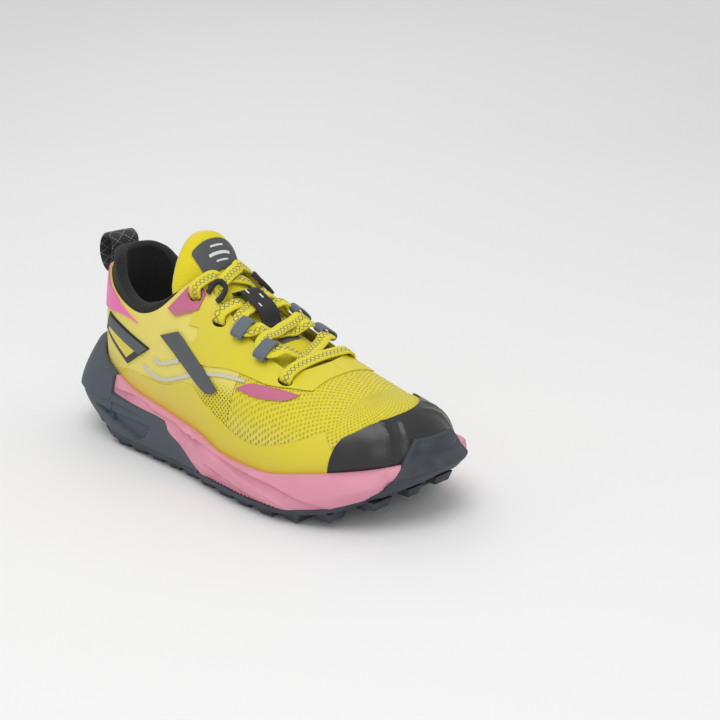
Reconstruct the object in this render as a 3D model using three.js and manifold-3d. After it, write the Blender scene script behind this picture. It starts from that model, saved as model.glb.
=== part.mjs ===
// A trail running shoe, right foot, size about EU 39, in millimetres.
// Working frame while it is built: +X from heel to toe, +Y to the inner (medial) side of the foot, +Z up,
// zero at the ground under the back of the heel. The finished group is moved so that its box stands on z = 0
// with its centre on the z axis.
import * as THREE from "three";
import { mergeVertices } from "three/addons/utils/BufferGeometryUtils.js";
import Module from "manifold-3d";

const wasm = await Module();
wasm.setup();

// ---------------------------------------------------------------- driving sizes
const LENGTH = 274; // overall length; the pattern below is drawn at 274 and graded to this
const WIDTH = 108; // width over the ball of the sole; the pattern is drawn at 108
const HEIGHT = 124; // height of the tongue top; the pattern is drawn at 124
const LINING = 5.6; // padded collar thickness
const UPPER = 1.2; // engineered mesh of vamp and quarters
const FILM = 0.7; // welded film overlays
const COUNTER = 1.2; // heel and toe stiffeners
const TONGUE = 3; // lower tongue
const TONGUE_PAD = 6.5; // padded tongue top
const GAP = 0.4; // clearance between layers and pieces that touch
const SHEET = 2.2; // outsole sheet between the lugs
const LUG = 4.5; // lug height
const LUG_PITCH = 17; // spacing of the lugs along the sole
const WRAP = 2.2; // outsole rubber where it wraps up the side wall
const RIM = 4.7; // how far the rim of the midsole stands out from the upper
const BOARD = 1.2; // strobel board
const INSOLE = 3.2; // sock liner
const LACE_WIDTH = 6.4;
const LACE_THICK = 1.6;
const WEBBING = 1.1; // lace loops and pull loop
const PULL_WIDTH = 20; // pull loop across the heel
const CORD = 3.2; // black cord loops
const PATCH = 0.4; // printed patch on the tongue

// Grading of the pattern.
const gradeX = (x) => (x * LENGTH) / 274;
const gradeY = (y) => (y * WIDTH) / 108;
const gradeZ = (z) => (z * HEIGHT) / 124;

// ---------------------------------------------------------------- curves
// A smooth curve z(x) through a few points that never overshoots them.
function profile(points) {
  const xs = points.map((p) => gradeX(p[0]));
  const zs = points.map((p) => gradeZ(p[1]));
  const step = xs.slice(1).map((x, i) => x - xs[i]);
  const rise = step.map((h, i) => (zs[i + 1] - zs[i]) / h);
  const slope = xs.map((_, i) => {
    if (i === 0) return rise[0];
    if (i === xs.length - 1) return rise[i - 1];
    return rise[i - 1] * rise[i] <= 0 ? 0 : (2 * rise[i - 1] * rise[i]) / (rise[i - 1] + rise[i]);
  });
  return (x) => {
    if (x <= xs[0]) return zs[0];
    if (x >= xs.at(-1)) return zs.at(-1);
    const i = xs.findIndex((v) => v > x) - 1;
    const t = (x - xs[i]) / step[i];
    const [a, b] = [t * t * (3 - 2 * t), t * (1 - t)];
    return zs[i] * (1 - a) + zs[i + 1] * a + step[i] * b * (slope[i] * (1 - t) - slope[i + 1] * t);
  };
}

// A closed outline seen from above, through a few points.
function outline(points) {
  const corners = points.map(([x, y]) => new THREE.Vector3(gradeX(x), gradeY(y), 0));
  return new THREE.CatmullRomCurve3(corners, true, "catmullrom", 0.5).getPoints(480);
}

// Foot of the upper, and the widest line of the sole, lateral side first.
const UPPER_OUTLINE = outline([
  [10, 0], [14, -16], [29, -28], [52, -34], [85, -37], [115, -41], [145, -46], [172, -50], [197, -49],
  [218, -42], [238, -29], [249, -14], [255, 4], [252, 18], [242, 31], [225, 40], [200, 44.5], [175, 43.5],
  [148, 38], [120, 33.5], [90, 31.5], [60, 31.5], [33, 28], [15, 16],
]);
const SOLE_OUTLINE = outline([
  [-11, 0], [-5, -22], [15, -36], [45, -42], [78, -45], [112, -48], [145, -54], [172, -57.5], [198, -57],
  [221, -50], [243, -36], [258, -17], [263, 4], [260, 21], [247, 36], [226, 46.5], [201, 50.5],
  [176, 50], [149, 44.5], [120, 40.5], [90, 39.5], [58, 40.5], [26, 35], [2, 21],
]);
const SPINE_HEEL = gradeX(38); // the ribs fan round the heel behind this point
const SPINE_TOE = gradeX(215); // and round the toe in front of this one
const GROUND = profile([[-10, 20], [0, 11], [10, 4.5], [25, 1], [45, 0], [190, 0], [215, 3], [238, 11],
  [252, 19], [263, 26]]);
const RIM_HEIGHT = profile([[-10, 58], [6, 58], [20, 52], [45, 43], [70, 36], [100, 32], [125, 29],
  [150, 23.5], [180, 23.5], [210, 28], [240, 33], [262, 38]]);
const WIDEST = profile([[-10, 30], [30, 24], [80, 18], [130, 13], [200, 12], [235, 24], [262, 38]]);
const BED = profile([[0, 36], [60, 34], [100, 27], [150, 18.5], [190, 16.5], [220, 20], [255, 30]]);
const RIDGE = profile([[38, 146], [60, 140], [85, 128], [110, 107], [135, 92], [160, 80], [185, 70],
  [215, 60]]);
const CARRIER_TOP = profile([[46, 33], [69, 30], [96, 28], [101, 23], [112, 19], [124, 13], [132, 8.4]]);
const CARRIER_FRONT = gradeX(130); // where the heel carrier runs out under the foam
const FOAM_BACK = gradeX(46); // where the pink foam starts on the side wall
const WRAP_TOP = profile([[200, 7.9], [214, 8.6], [225, 10], [235, 14], [246, 22], [251, 27], [256, 36],
  [260, 46]]);

// ---------------------------------------------------------------- ribs
// A rib is a vertical section plane. It starts on the spine and looks outwards.
const reachCache = new Map();
function reach(line, p, e) {
  const key = [line === SOLE_OUTLINE, p.x, e.x, e.y].join();
  if (reachCache.has(key)) return reachCache.get(key);
  let far = 0;
  for (let i = 0; i < line.length - 1; i++) {
    const [a, b] = [line[i], line[i + 1]];
    const [dx, dy] = [b.x - a.x, b.y - a.y];
    const det = dx * e.y - dy * e.x;
    if (Math.abs(det) < 1e-9) continue;
    const along = ((p.x - a.x) * e.y - (p.y - a.y) * e.x) / det;
    const out = (dy * (a.x - p.x) - dx * (a.y - p.y)) / -det;
    if (along >= -1e-9 && along <= 1 + 1e-9 && out > far) far = out;
  }
  reachCache.set(key, far);
  return far;
}

function rib(x, ex, ey) {
  const p = { x, y: 0 };
  const e = { x: ex, y: ey };
  const foot = reach(UPPER_OUTLINE, p, e);
  const sole = reach(SOLE_OUTLINE, p, e);
  const at = x + ex * foot;
  return { p, e, foot, sole, at, rim: RIM_HEIGHT(at), ridge: RIDGE(x), bed: BED(at) };
}

// The ribs in order round the shoe: heel centre, lateral side, toe centre, medial side.
const FAN = 5; // ribs in each quarter turn
const RUN = 15; // ribs along each side
function side(sign) {
  const ribs = [];
  for (let i = 0; i < FAN; i++) {
    const a = ((1 - i / FAN) * Math.PI) / 2;
    ribs.push(rib(SPINE_HEEL, -Math.sin(a), sign * Math.cos(a)));
  }
  const length = SPINE_TOE - SPINE_HEEL;
  for (let i = 0; i <= RUN; i++) ribs.push(rib(SPINE_HEEL + (length * i) / RUN, 0, sign));
  for (let i = 1; i <= FAN; i++) {
    const a = ((i / FAN) * Math.PI) / 2;
    ribs.push(rib(SPINE_TOE, Math.sin(a), i === FAN ? 0 : sign * Math.cos(a)));
  }
  return ribs;
}
const LATERAL = side(-1);
const MEDIAL = side(1);
const RIBS = [...LATERAL, ...MEDIAL.slice(1, -1).reverse()];

// The same section read on the spine itself, where the ribs of a fan meet.
const spine = (r) => ({ ...r, at: r.p.x, rim: RIM_HEIGHT(r.p.x), bed: BED(r.p.x) });

const onRib = (r, out, z) => new THREE.Vector3(r.p.x + r.e.x * out, r.p.y + r.e.y * out, z);

// The upper's section: a leaning quarter oval from the rim up to the ridge, offset outwards by d.
const SIDE_POWER = 2.3;
const TOP_POWER = 1.9;
function upperOut(r, z, d) {
  if (z <= r.rim) return r.foot + d;
  const rise = Math.min(1, (z - r.rim) / (r.ridge + d - r.rim));
  return (r.foot + d) * Math.cos(Math.asin(rise ** (TOP_POWER / 2))) ** (2 / SIDE_POWER);
}
function upperPoint(r, t, d) {
  const a = (t * Math.PI) / 2;
  const out = t >= 1 ? 0 : (r.foot + d) * Math.cos(a) ** (2 / SIDE_POWER);
  return onRib(r, out, r.rim + (r.ridge + d - r.rim) * Math.sin(a) ** (2 / TOP_POWER));
}
// Height of the offset upper above a point seen from above, between the two ends of the spine.
function upperHeight(x, y, d) {
  const r = rib(x, 0, y < 0 ? -1 : 1);
  const a = Math.acos(Math.min(1, Math.abs(y) / (r.foot + d)) ** (SIDE_POWER / 2));
  return r.rim + (r.ridge + d - r.rim) * Math.sin(a) ** (2 / TOP_POWER);
}
const onUpper = (x, y, d) => new THREE.Vector3(x, y, upperHeight(x, y, d));
function slopeAt(x, y, d) {
  const h = 0.5;
  const alongX = upperHeight(x - h, y, d) - upperHeight(x + h, y, d);
  const alongY = upperHeight(x, y - h, d) - upperHeight(x, y + h, d);
  return new THREE.Vector3(alongX, alongY, 2 * h).normalize();
}
// The direction square to the upper at a point on it or above it.
function normalAt(p) {
  const above = p.z - upperHeight(p.x, p.y, 0);
  return slopeAt(p.x, p.y, above * slopeAt(p.x, p.y, 0).z);
}
// A place given from a spot on the upper: a towards the middle of the shoe, b outwards.
function local(x, y, a, b) {
  const at = onUpper(x, y, 0);
  const up = normalAt(at);
  const inwards = up.clone().cross(new THREE.Vector3(y < 0 ? -1 : 1, 0, 0)).normalize();
  return at.addScaledVector(inwards, inwards.y * y < 0 ? a : -a).addScaledVector(up, b);
}

// The sole's side wall: it flares from the rim to its widest line and tucks in again towards the ground.
const HEEL_TUCK = 9;
const TOE_TUCK = 7;
const SIDE_TUCK = 2.5;
const HEEL_END = gradeX(34); // the heel tuck applies behind this
const TOE_END = gradeX(232); // and the toe tuck in front of this
const TOE_FLARE = 1.5; // how much further the rim stands out round the toe
const FLARE_START = gradeX(225);
function wallOut(r, z) {
  const widest = WIDEST(r.at);
  const rimOut = upperOut(r, z, RIM + (r.at > FLARE_START ? TOE_FLARE : 0));
  if (z >= r.rim) return rimOut;
  if (z >= widest) {
    const s = ((z - widest) / (r.rim - widest)) ** 1.4;
    return r.sole * (1 - s) + rimOut * s;
  }
  const floor = GROUND(r.at) + LUG;
  const tuck = r.at < HEEL_END ? HEEL_TUCK : r.at > TOE_END ? TOE_TUCK : SIDE_TUCK;
  return r.sole - tuck * ((widest - z) / (widest - floor)) ** 1.5;
}

// ---------------------------------------------------------------- solids
function geometryOf(triangles) {
  const flat = triangles.flat().flatMap((v) => [v.x, v.y, v.z]);
  return new THREE.BufferGeometry().setAttribute("position", new THREE.Float32BufferAttribute(flat, 3));
}

function solid(geometry) {
  const bare = geometry.clone();
  for (const name of Object.keys(bare.attributes)) if (name !== "position") bare.deleteAttribute(name);
  const merged = mergeVertices(bare, 1e-3);
  const index = merged.index.array;
  const kept = [];
  for (let i = 0; i < index.length; i += 3) {
    const [a, b, c] = [index[i], index[i + 1], index[i + 2]];
    if (a !== b && b !== c && c !== a) kept.push(a, b, c);
  }
  const made = new wasm.Manifold(new wasm.Mesh({
    numProp: 3, vertProperties: merged.attributes.position.array, triVerts: new Uint32Array(kept),
  }));
  return made;
}

function geometry(manifold) {
  const mesh = manifold.getMesh();
  const made = new THREE.BufferGeometry();
  made.setAttribute("position", new THREE.BufferAttribute(new Float32Array(mesh.vertProperties), 3));
  made.setIndex(new THREE.BufferAttribute(new Uint32Array(mesh.triVerts), 1));
  const flat = made.toNonIndexed();
  flat.computeVertexNormals();
  return flat;
}

// Joins loops of points, one after another, into a skin: quads between neighbours.
function skin(rows, closedRows, closedLoops) {
  const faces = [];
  const n = rows.length;
  const m = rows[0].length;
  for (let i = 0; i < (closedRows ? n : n - 1); i++)
    for (let j = 0; j < (closedLoops ? m : m - 1); j++) {
      const [a, b] = [rows[i][j], rows[(i + 1) % n][j]];
      const [c, d] = [rows[(i + 1) % n][(j + 1) % m], rows[i][(j + 1) % m]];
      faces.push([a, b, c], [a, c, d]);
    }
  return faces;
}

// A flat cap over a loop of points, seen along an axis, its faces turning the way the loop runs.
function cap(loop, u, v) {
  const flat = loop.map((p) => new THREE.Vector2(p[u], p[v]));
  const turns = (corners) => THREE.ShapeUtils.isClockWise(corners);
  const clockwise = turns(flat);
  return THREE.ShapeUtils.triangulateShape(flat, []).map(([a, b, c]) => {
    const same = turns([flat[a], flat[b], flat[c]]) === clockwise;
    return same ? [loop[a], loop[b], loop[c]] : [loop[a], loop[c], loop[b]];
  });
}

function outwards(faces) {
  const made = solid(geometryOf(faces));
  if (made.volume() >= 0) return made;
  return solid(geometryOf(faces.map(([a, b, c]) => [a, c, b])));
}

// A body all the way round the shoe: on each rib a chain of points from the spine out and back to the spine.
const ringSolid = (chain) => outwards(skin(RIBS.map(chain), true, false));

// A body round one end of the shoe only, cut off square across at the first and last rib.
function hornSolid(ribs, chain) {
  const rows = ribs.map(chain);
  const section = cap([...rows[0], ...rows.at(-1).slice(1, -1).reverse()], "y", "z");
  return outwards([...skin(rows, false, false), ...section]);
}

// A prism from a side view (x, z), reaching from the middle to one side, or from side to side.
function sidePrism(points, sign = 0) {
  const shape = new THREE.Shape(points.map(([x, z]) => new THREE.Vector2(gradeX(x), gradeZ(z))));
  const made = new THREE.ExtrudeGeometry(shape, { depth: sign ? 120 : 240, bevelEnabled: false, steps: 1 });
  made.rotateX(Math.PI / 2).translate(0, sign < 0 ? 0 : 120, 0);
  return solid(made);
}
// A prism from a view from above (x, y).
function topPrism(points, low = 0, high = 200) {
  const shape = new THREE.Shape(points.map(([x, y]) => new THREE.Vector2(gradeX(x), gradeY(y))));
  const made = new THREE.ExtrudeGeometry(shape, { depth: high - low, bevelEnabled: false, steps: 1 });
  return solid(made.translate(0, 0, low));
}
function box(x0, x1, y0, y1, z0, z1) {
  const made = new THREE.BoxGeometry(x1 - x0, y1 - y0, z1 - z0);
  return solid(made.translate((x0 + x1) / 2, (y0 + y1) / 2, (z0 + z1) / 2));
}

// One layer of the upper, between two offsets, from its lower edge up to the ridge.
const STEPS = [0.15, 0.3, 0.45, 0.58, 0.7, 0.82, 0.93, 1];
const layers = new Map();
function layer(outer, inner, lower = (r) => r.bed + BOARD + GAP) {
  const key = [outer, inner, lower].join();
  if (layers.has(key)) return layers.get(key);
  const up = (r, d) => [
    onRib(r, r.foot + d, lower(r)), onRib(r, r.foot + d, r.rim), ...STEPS.map((t) => upperPoint(r, t, d)),
  ];
  const made = outwards(skin(RIBS.map((r) => [...up(r, outer).reverse(), ...up(r, inner)]), true, false));
  layers.set(key, made);
  return made;
}

// ---------------------------------------------------------------- pattern lines
// Edge of the collar in the side view, and the rounded top of the padded roll above it.
const COLLAR = [[-20, 102], [12, 102], [22, 99], [31, 93], [41, 87.5], [52, 83.5], [62, 82], [71, 83.5],
  [80, 87.5], [88, 94], [94, 100.5], [99, 105], [107, 106]];
const COLLAR_ROLL = [[-20, 112], [14, 112], [26, 109], [36, 101], [45, 93.5], [54, 89], [63, 87.5],
  [72, 89.5], [82, 94.5]];
const COLLAR_FOOT = [[83, 88], [80, 74], [60, 62], [30, 58], [-20, 58]]; // its hidden lower edge
// The throat seen from above: the gap that the tongue fills and the laces close.
const THROAT = [[97, -16.5], [109, -18], [120, -19.5], [132, -20.5], [146, -22.5], [161, -24], [174, -24],
  [180, -21], [183, -13], [184, -3], [183, 6], [180, 13], [174, 17], [161, 19], [146, 19], [132, 18.5],
  [120, 18], [109, 17], [97, 16]];
const RAND = [[44, 20], [44, 46], [56, 47.5], [70, 47], [90, 46.5], [108, 52], [118, 51.6], [130, 45],
  [151, 38], [170, 35], [185, 37], [202, 42.5], [214, 48], [219, 42], [232, 30], [234, 20]];
const EYESTAY = [[101.5, 130], [101.5, 97], [106, 90], [106, 83], [113, 83], [113, 76], [108, 73], [104, 68],
  [112, 65.5], [125, 65], [140, 66.5], [156, 65.5], [170, 63.6], [184, 63.4], [194, 63], [194, 80],
  [180, 130]];
const HEEL_PATCH = [[-20, 76], [43, 79], [63, 76.5], [50, 82], [41, 87], [31, 92.6], [22, 98.6], [12, 101.6],
  [-20, 101.6]];
const BADGE = [[26, 66], [32, 77], [75, 64], [54, 51]];
const EYELET_PATCH = [[88.5, 89.5], [95, 97], [99, 103], [104, 103.5], [109.5, 99], [109.5, 91.5],
  [95, 86.5]];
const FLASH = [[151.5, 58.5], [160, 62.3], [176, 62.3], [190, 60.8], [184, 58.2], [168, 57.2]];
const SLASH = [[85, 74], [99, 78.5], [139, 54.5], [126, 52.5]]; // a plain slanting bar
const PIPING_UPPER = [[103, 62], [86, 57], [79, 58.6], [79, 60.6], [87, 59.2], [102, 64.2]];
const PIPING_LOWER = [[70, 54.6], [79, 51], [92, 51], [115, 59], [136, 63.4], [156, 63.6], [156, 62.2],
  [136, 61.6], [115, 56.8], [92, 48.8], [78, 48.8], [69, 52.8]];
const WINDOW_FRONT = 150; // seam between the quarters and the vamp
const TOE_CAP = [[217, -60], [222, -37], [229, -27], [236, -14], [239, 0], [236, 11], [227, 22], [214, 32],
  [204, 60], [280, 60], [280, -60]];
const CAP_SIDE = [[190, 15], [190, 49], [214.6, 49], [219.8, 42.6], [232.8, 30.6], [234.8, 20], [234.8, 15]];
const LABEL = [[87.5, -13], [87.5, 13], [101.2, 11.5], [101.2, -11.5]];
const TONGUE_TOP = [[84, -20], [86.5, -22.5], [91, -22], [96, -16], [102.6, -11.8], [102.6, 11.4], [96, 15.5],
  [91, 21.5], [86.5, 22], [84, 19.5]];
const TONGUE_LOW = [[106, -22], [126, -27], [150, -31], [186, -32], [193, -20], [193, 15], [186, 25],
  [150, 25], [126, 24], [106, 20.5]];
const TONGUE_PATCH = [[146, -9], [146, 8], [157, 8], [157, -9]];
const TONGUE_DEPTH = UPPER + 3.4; // room between the eyestay and the tongue, where the lace runs

// Eyelets and loops: x, and y on the lateral and the medial side. The first row is nearest the toe.
const ROWS = [
  { x: 178, lateral: -28.5, medial: 21.5 },
  { x: 160, lateral: -25, medial: 20.5 },
  { x: 141, lateral: -23.5, medial: 20 },
  { x: 124, lateral: -25, medial: 23 },
  { x: 115, lateral: -19, medial: 17.5 },
  { x: 104, lateral: -24, medial: 22.5 },
].map((row) => ({ x: gradeX(row.x), lateral: gradeY(row.lateral), medial: gradeY(row.medial) }));
const PUNCHED = [0, 3, 5]; // rows with holes
const WEBBED = [1, 2]; // rows with webbing loops
const HOLE_LONG = LACE_WIDTH + 3.4; // room for the lace to pass at a slant
const HOLE_WIDE = LACE_THICK + 5;
const HOLE_DEEP = 12; // through every layer

// ---------------------------------------------------------------- finishes
const paint = (color, roughness) => new THREE.MeshStandardMaterial({ color, roughness, metalness: 0 });
const FINISH = {
  yellow_mesh: paint(0xddcf2a, 0.8), yellow_film: paint(0xe0d21e, 0.45), pale_film: paint(0xe4d678, 0.6),
  pink_foam: paint(0xdb98ae, 0.7), pink_film: paint(0xdf6fa8, 0.45), rose_film: paint(0xc4718f, 0.5),
  slate_foam: paint(0x4b5560, 0.7), rubber: paint(0x3a4148, 0.75), black_gloss: paint(0x2c2c2e, 0.35),
  black_knit: paint(0x161617, 0.9), grey_print: paint(0x4e5154, 0.6), silver_print: paint(0xc9c9bd, 0.4),
  grey_webbing: paint(0x5b6570, 0.85), white_felt: paint(0xd8d6cf, 0.95), insole: paint(0x2b2e33, 0.9),
  lace: paint(0xe3d52a, 0.8), clear_plastic: paint(0xd8d8d0, 0.3),
};

const shoe = new THREE.Group();
function add(name, manifold, finish) {
  const mesh = new THREE.Mesh(geometry(manifold), FINISH[finish]);
  mesh.name = name;
  shoe.add(mesh);
}

// ---------------------------------------------------------------- sole
const SOLE_MARGIN = 8; // the flat underside ends this far inside the widest line
const LIP_LEAST = 0.9; // how far the rubber stands above the sheet where it does not wrap
const sheetTop = (r) => GROUND(r.at) + LUG + SHEET;
const wrapTop = (r) => Math.max(WRAP_TOP(r.p.x + r.e.x * r.sole), sheetTop(r) + LIP_LEAST);
const levels = (low, high, n) => Array.from({ length: n + 1 }, (_, i) => low + ((high - low) * i) / n);

// Points from the spine outwards, at a height over the ground curve or over the bed.
const SHARES = [0, 0.35, 0.7];
const over = (curve, r, reachOut, height) => SHARES.map((share) => {
  const out = reachOut * share;
  return onRib(r, out, curve(r.p.x + r.e.x * out) + height);
});
const groundLine = (r, height) => over(GROUND, r, r.sole - SOLE_MARGIN, height);
const bedLine = (r, reachOut, height) => over(BED, r, reachOut, height);

function outsoleChain(r) {
  const [bottom, top, lip] = [GROUND(r.at) + LUG, sheetTop(r), wrapTop(r)];
  const outer = levels(bottom, lip, 4).map((z) => onRib(r, wallOut(r, z), z));
  const inner = levels(lip, top, 3).map((z) => onRib(r, wallOut(r, z) - WRAP, z));
  return [...groundLine(r, LUG), ...outer, ...inner, ...groundLine(r, LUG + SHEET).reverse()];
}

// A tapered lug under the sheet, its foot flat on the ground curve.
const LUG_TAPER = 1.6; // how much wider a lug is at its root, on each side
const LUG_ROOT = 0.6; // how far it runs up into the sheet
function lug(x, y, long, wide) {
  const [base, foot] = [GROUND(x) + LUG + LUG_ROOT, GROUND(x)];
  const ring = (z, grow) => [[-1, -1], [1, -1], [1, 1], [-1, 1]].map(([i, j]) =>
    new THREE.Vector3(x + i * (long / 2 + grow), y + j * (wide / 2 + grow), z));
  const [low, high] = [ring(foot, 0), ring(base, LUG_TAPER)];
  const ends = [...cap(low, "x", "y"), ...cap([...high].reverse(), "x", "y")];
  return outwards([...skin([low, high], false, true), ...ends]);
}

function soleEdge(x, sign) {
  const r = rib(Math.min(Math.max(x, SPINE_HEEL), SPINE_TOE), 0, sign);
  if (x >= SPINE_HEEL && x <= SPINE_TOE) return wallOut(r, GROUND(x) + LUG);
  const fan = (sign < 0 ? LATERAL : MEDIAL).map((f) => onRib(f, wallOut(f, GROUND(f.at) + LUG), 0));
  const end = x < SPINE_HEEL ? fan.slice(0, FAN + 1) : fan.slice(-FAN - 1);
  const pairs = end.slice(0, -1).map((p, i) => [p, end[i + 1]]);
  const [near, far] = pairs.find(([a, b]) => (a.x - x) * (b.x - x) <= 0) ?? [end[0], end[0]];
  const t = far.x === near.x ? 0 : (x - near.x) / (far.x - near.x);
  return Math.abs(near.y * (1 - t) + far.y * t);
}

// Three kinds of lug: a share of the pitch long, a width across, and how far its middle is in from the edge.
const EDGE_LUG = { share: 0.52, wide: 11, inset: 8.7 };
const INNER_LUG = { share: 0.42, wide: 9, inset: 26.2 };
const MIDDLE_LUG = { share: 0.6, wide: 8 };
const INNER_ROOM = 34.2; // half the sheet's width where there is room for an inner lug
const [FIRST_LUG, LAST_LUG] = [gradeX(16), gradeX(244)];
function lugs() {
  const made = [];
  const place = (kind, x, y) => made.push(lug(x, y, LUG_PITCH * kind.share, kind.wide));
  const count = Math.floor((LAST_LUG - FIRST_LUG) / LUG_PITCH);
  for (let i = 0; i <= count; i++) {
    const x = FIRST_LUG + i * LUG_PITCH;
    for (const sign of [-1, 1]) {
      const edge = soleEdge(x, sign);
      place(EDGE_LUG, x, sign * (edge - EDGE_LUG.inset));
      if (edge > INNER_ROOM) place(INNER_LUG, x + LUG_PITCH / 2, sign * (edge - INNER_LUG.inset));
    }
    if (i % 2) place(MIDDLE_LUG, x, 0);
  }
  return made;
}
add("outsole", lugs().reduce((whole, one) => whole.add(one), ringSolid(outsoleChain)), "rubber");

// Where the carrier's top, and so the foam's underside, lies on the side wall.
const carrierTop = (r) => (r.at < FOAM_BACK ? r.rim : CARRIER_TOP(r.at));
const cupOut = (r) => r.foot + FILM + 3 * GAP; // inner face of the rim, clear of the film layers

// Clearance over the rubber: more where it curls up round the heel, and most round the toe, where the flat
// faces between the ribs lie further from the true curve the more pointed the toe is.
const POINTED = (gradeX(1) / gradeY(1)) ** 3;
function seat(r) {
  if (r.p.x === SPINE_TOE) return 5 * GAP * POINTED;
  return r.at > gradeX(60) && r.at < gradeX(205) ? GAP : 2.5 * GAP;
}
const WRAP_NEAR = 14; // where the rubber's lip comes this near the rim, it covers the whole wall
const STEP_LEAST = 0.4; // the least wall left below the step that the lip makes
// The wall between two heights: set back behind the rubber that wraps up it, then out to the full width.
function wallChain(r, low, high) {
  const lip = wrapTop(r) + GAP;
  const step = Math.max(low + STEP_LEAST, Math.min(lip, high - 2 * STEP_LEAST));
  const setBack = WRAP + seat(r);
  const above = lip > high - WRAP_NEAR ? setBack : 0;
  return [...levels(low, step, 3).map((z) => onRib(r, wallOut(r, z) - setBack, z)),
    ...levels(step, high, 3).map((z) => onRib(r, wallOut(r, z) - above, z))];
}

const BED_MARGIN = 4; // the flat layers bend up to the wall within this
const RIM_DROP = 0.3; // the rim slopes down this much towards the upper
const cupLine = (r) => bedLine(r, r.foot - BED_MARGIN, -GAP).reverse();
function carrierChain(r) {
  const low = sheetTop(r) + seat(r);
  const top = carrierTop(r);
  const cup = r.at < FOAM_BACK;
  const inside = cup
    ? [onRib(r, cupOut(r), top - RIM_DROP), onRib(r, cupOut(r), r.bed - GAP)]
    : [onRib(r, cupOut(r) + 2 * RIM_DROP, top), onRib(r, cupOut(r), top)];
  const wedge = SHARES.map((share) => onRib(r, (r.sole - SOLE_MARGIN) * share, top)).reverse();
  const floor = cup ? cupLine(r) : wedge;
  const middle = r.p.x < FOAM_BACK ? BED(r.p.x) - GAP : CARRIER_TOP(r.p.x);
  const under = groundLine(r, LUG + SHEET + 2 * GAP);
  return [...under, ...wallChain(r, low, top), ...inside, ...floor.slice(0, -1), onRib(r, 0, middle)];
}
function foamChain(r) {
  const behind = r.p.x < CARRIER_FRONT + 2;
  const low = Math.max(sheetTop(r), behind ? CARRIER_TOP(r.at) : 0) + seat(r);
  const line = groundLine(r, LUG + SHEET + Math.max(2 * GAP, seat(r)));
  const under = line.map((p) => (behind ? p.setZ(low) : p));
  const inside = [onRib(r, cupOut(r), r.rim - RIM_DROP), onRib(r, cupOut(r), r.bed - GAP)];
  return [...under, ...wallChain(r, low, r.rim), ...inside, ...cupLine(r)];
}
// The ribs of one end of the shoe, from one side round the end to the other.
function horn(from, to) {
  const within = (ribs) => ribs.filter((r) => r.at > from && r.at < to);
  if (from < 0) return [...within(MEDIAL).reverse(), ...within(LATERAL).slice(1)];
  return [...within(LATERAL), ...within(MEDIAL).slice(0, -1).reverse()];
}
add("heel_carrier", hornSolid(horn(-50, CARRIER_FRONT), carrierChain), "slate_foam");
add("midsole_foam", hornSolid(horn(FOAM_BACK, 400), foamChain), "pink_foam");

// Flat layers inside the cup, following the bed.
function plate(inset, low, high) {
  return ringSolid((r) => {
    const out = r.foot - inset;
    const edge = (h) => onRib(r, out, r.bed + h);
    const line = (h) => bedLine(r, r.foot - BED_MARGIN, h);
    return [...line(low), edge(low), edge(high), ...line(high).reverse()];
  });
}
const INSIDE = UPPER + COUNTER + 3 * GAP; // clear of the upper and its stiffeners
add("strobel_board", plate(0, 0, BOARD), "white_felt");
add("insole", plate(INSIDE, BOARD + 2 * GAP, BOARD + 2 * GAP + INSOLE), "insole");

// ---------------------------------------------------------------- upper
const skinLayer = () => layer(0, -UPPER);
const FILM_FOOT = 2; // films run this far down inside the rim of the sole
const TONGUE_FOOT = 1; // and the tongue this far
const belowRim = (r) => r.rim - FILM_FOOT;
function film(order) {
  const inner = GAP + order * (FILM + GAP);
  return layer(inner + FILM, inner, belowRim);
}
const throat = () => topPrism(THROAT, gradeZ(40), 220);
const FAR = 400;
const collarCut = () => sidePrism([...COLLAR, [107, 220], [-20, 220]]);
const SEAM = GAP / 2; // half the gap where two pieces meet edge to edge
const half = (sign) => box(-FAR, FAR, sign < 0 ? -FAR : SEAM, sign < 0 ? -SEAM : FAR, -FAR, FAR);

// Punched eyelets: slots cut square through the upper.
function holes() {
  const made = PUNCHED.flatMap((i) => [ROWS[i].lateral, ROWS[i].medial].map((y) => {
    const slot = new THREE.BoxGeometry(HOLE_LONG, HOLE_WIDE, HOLE_DEEP);
    const up = normalAt(onUpper(ROWS[i].x, y, 0));
    const across = up.clone().cross(new THREE.Vector3(1, 0, 0)).normalize();
    slot.applyMatrix4(new THREE.Matrix4().makeBasis(across.clone().cross(up), across, up));
    return solid(slot.translate(...onUpper(ROWS[i].x, y, 0).toArray()));
  }));
  return made.reduce((whole, one) => whole.add(one));
}

const quarter = (sign) => skinLayer()
  .intersect(box(-FAR, gradeX(WINDOW_FRONT) - SEAM, -FAR, FAR, -FAR, FAR))
  .intersect(half(sign)).subtract(collarCut()).subtract(throat()).subtract(holes());
add("quarter_lateral", quarter(-1), "pale_film");
add("quarter_medial", quarter(1), "pale_film");
const vampBack = box(gradeX(WINDOW_FRONT) + SEAM, FAR, -FAR, FAR, -FAR, FAR);
add("vamp_mesh", skinLayer().intersect(vampBack).subtract(throat()).subtract(holes()), "yellow_mesh");

// Stiffeners between the mesh and the lining.
const stiffener = () => layer(-UPPER - GAP, -UPPER - GAP - COUNTER);
const COUNTER_SIDE = [[-20, 40], [-20, 80], [30, 78], [62, 62], [70, 45], [70, 40]];
const PUFF_SIDE = [[228, 27], [243, 47], [243, 200], [300, 200], [300, 27]];
add("heel_counter", stiffener().intersect(sidePrism(COUNTER_SIDE)), "white_felt");
add("toe_puff", stiffener().intersect(sidePrism(PUFF_SIDE)), "white_felt");

// Padded collar, as deep as its lining, from the roll down into the heel.
const LINING_OUT = -UPPER - COUNTER - 2 * GAP;
const collarBand = () => sidePrism([...COLLAR_ROLL, ...COLLAR_FOOT]);
add("collar_lining", layer(LINING_OUT, LINING_OUT - LINING).intersect(collarBand()), "black_knit");

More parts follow.
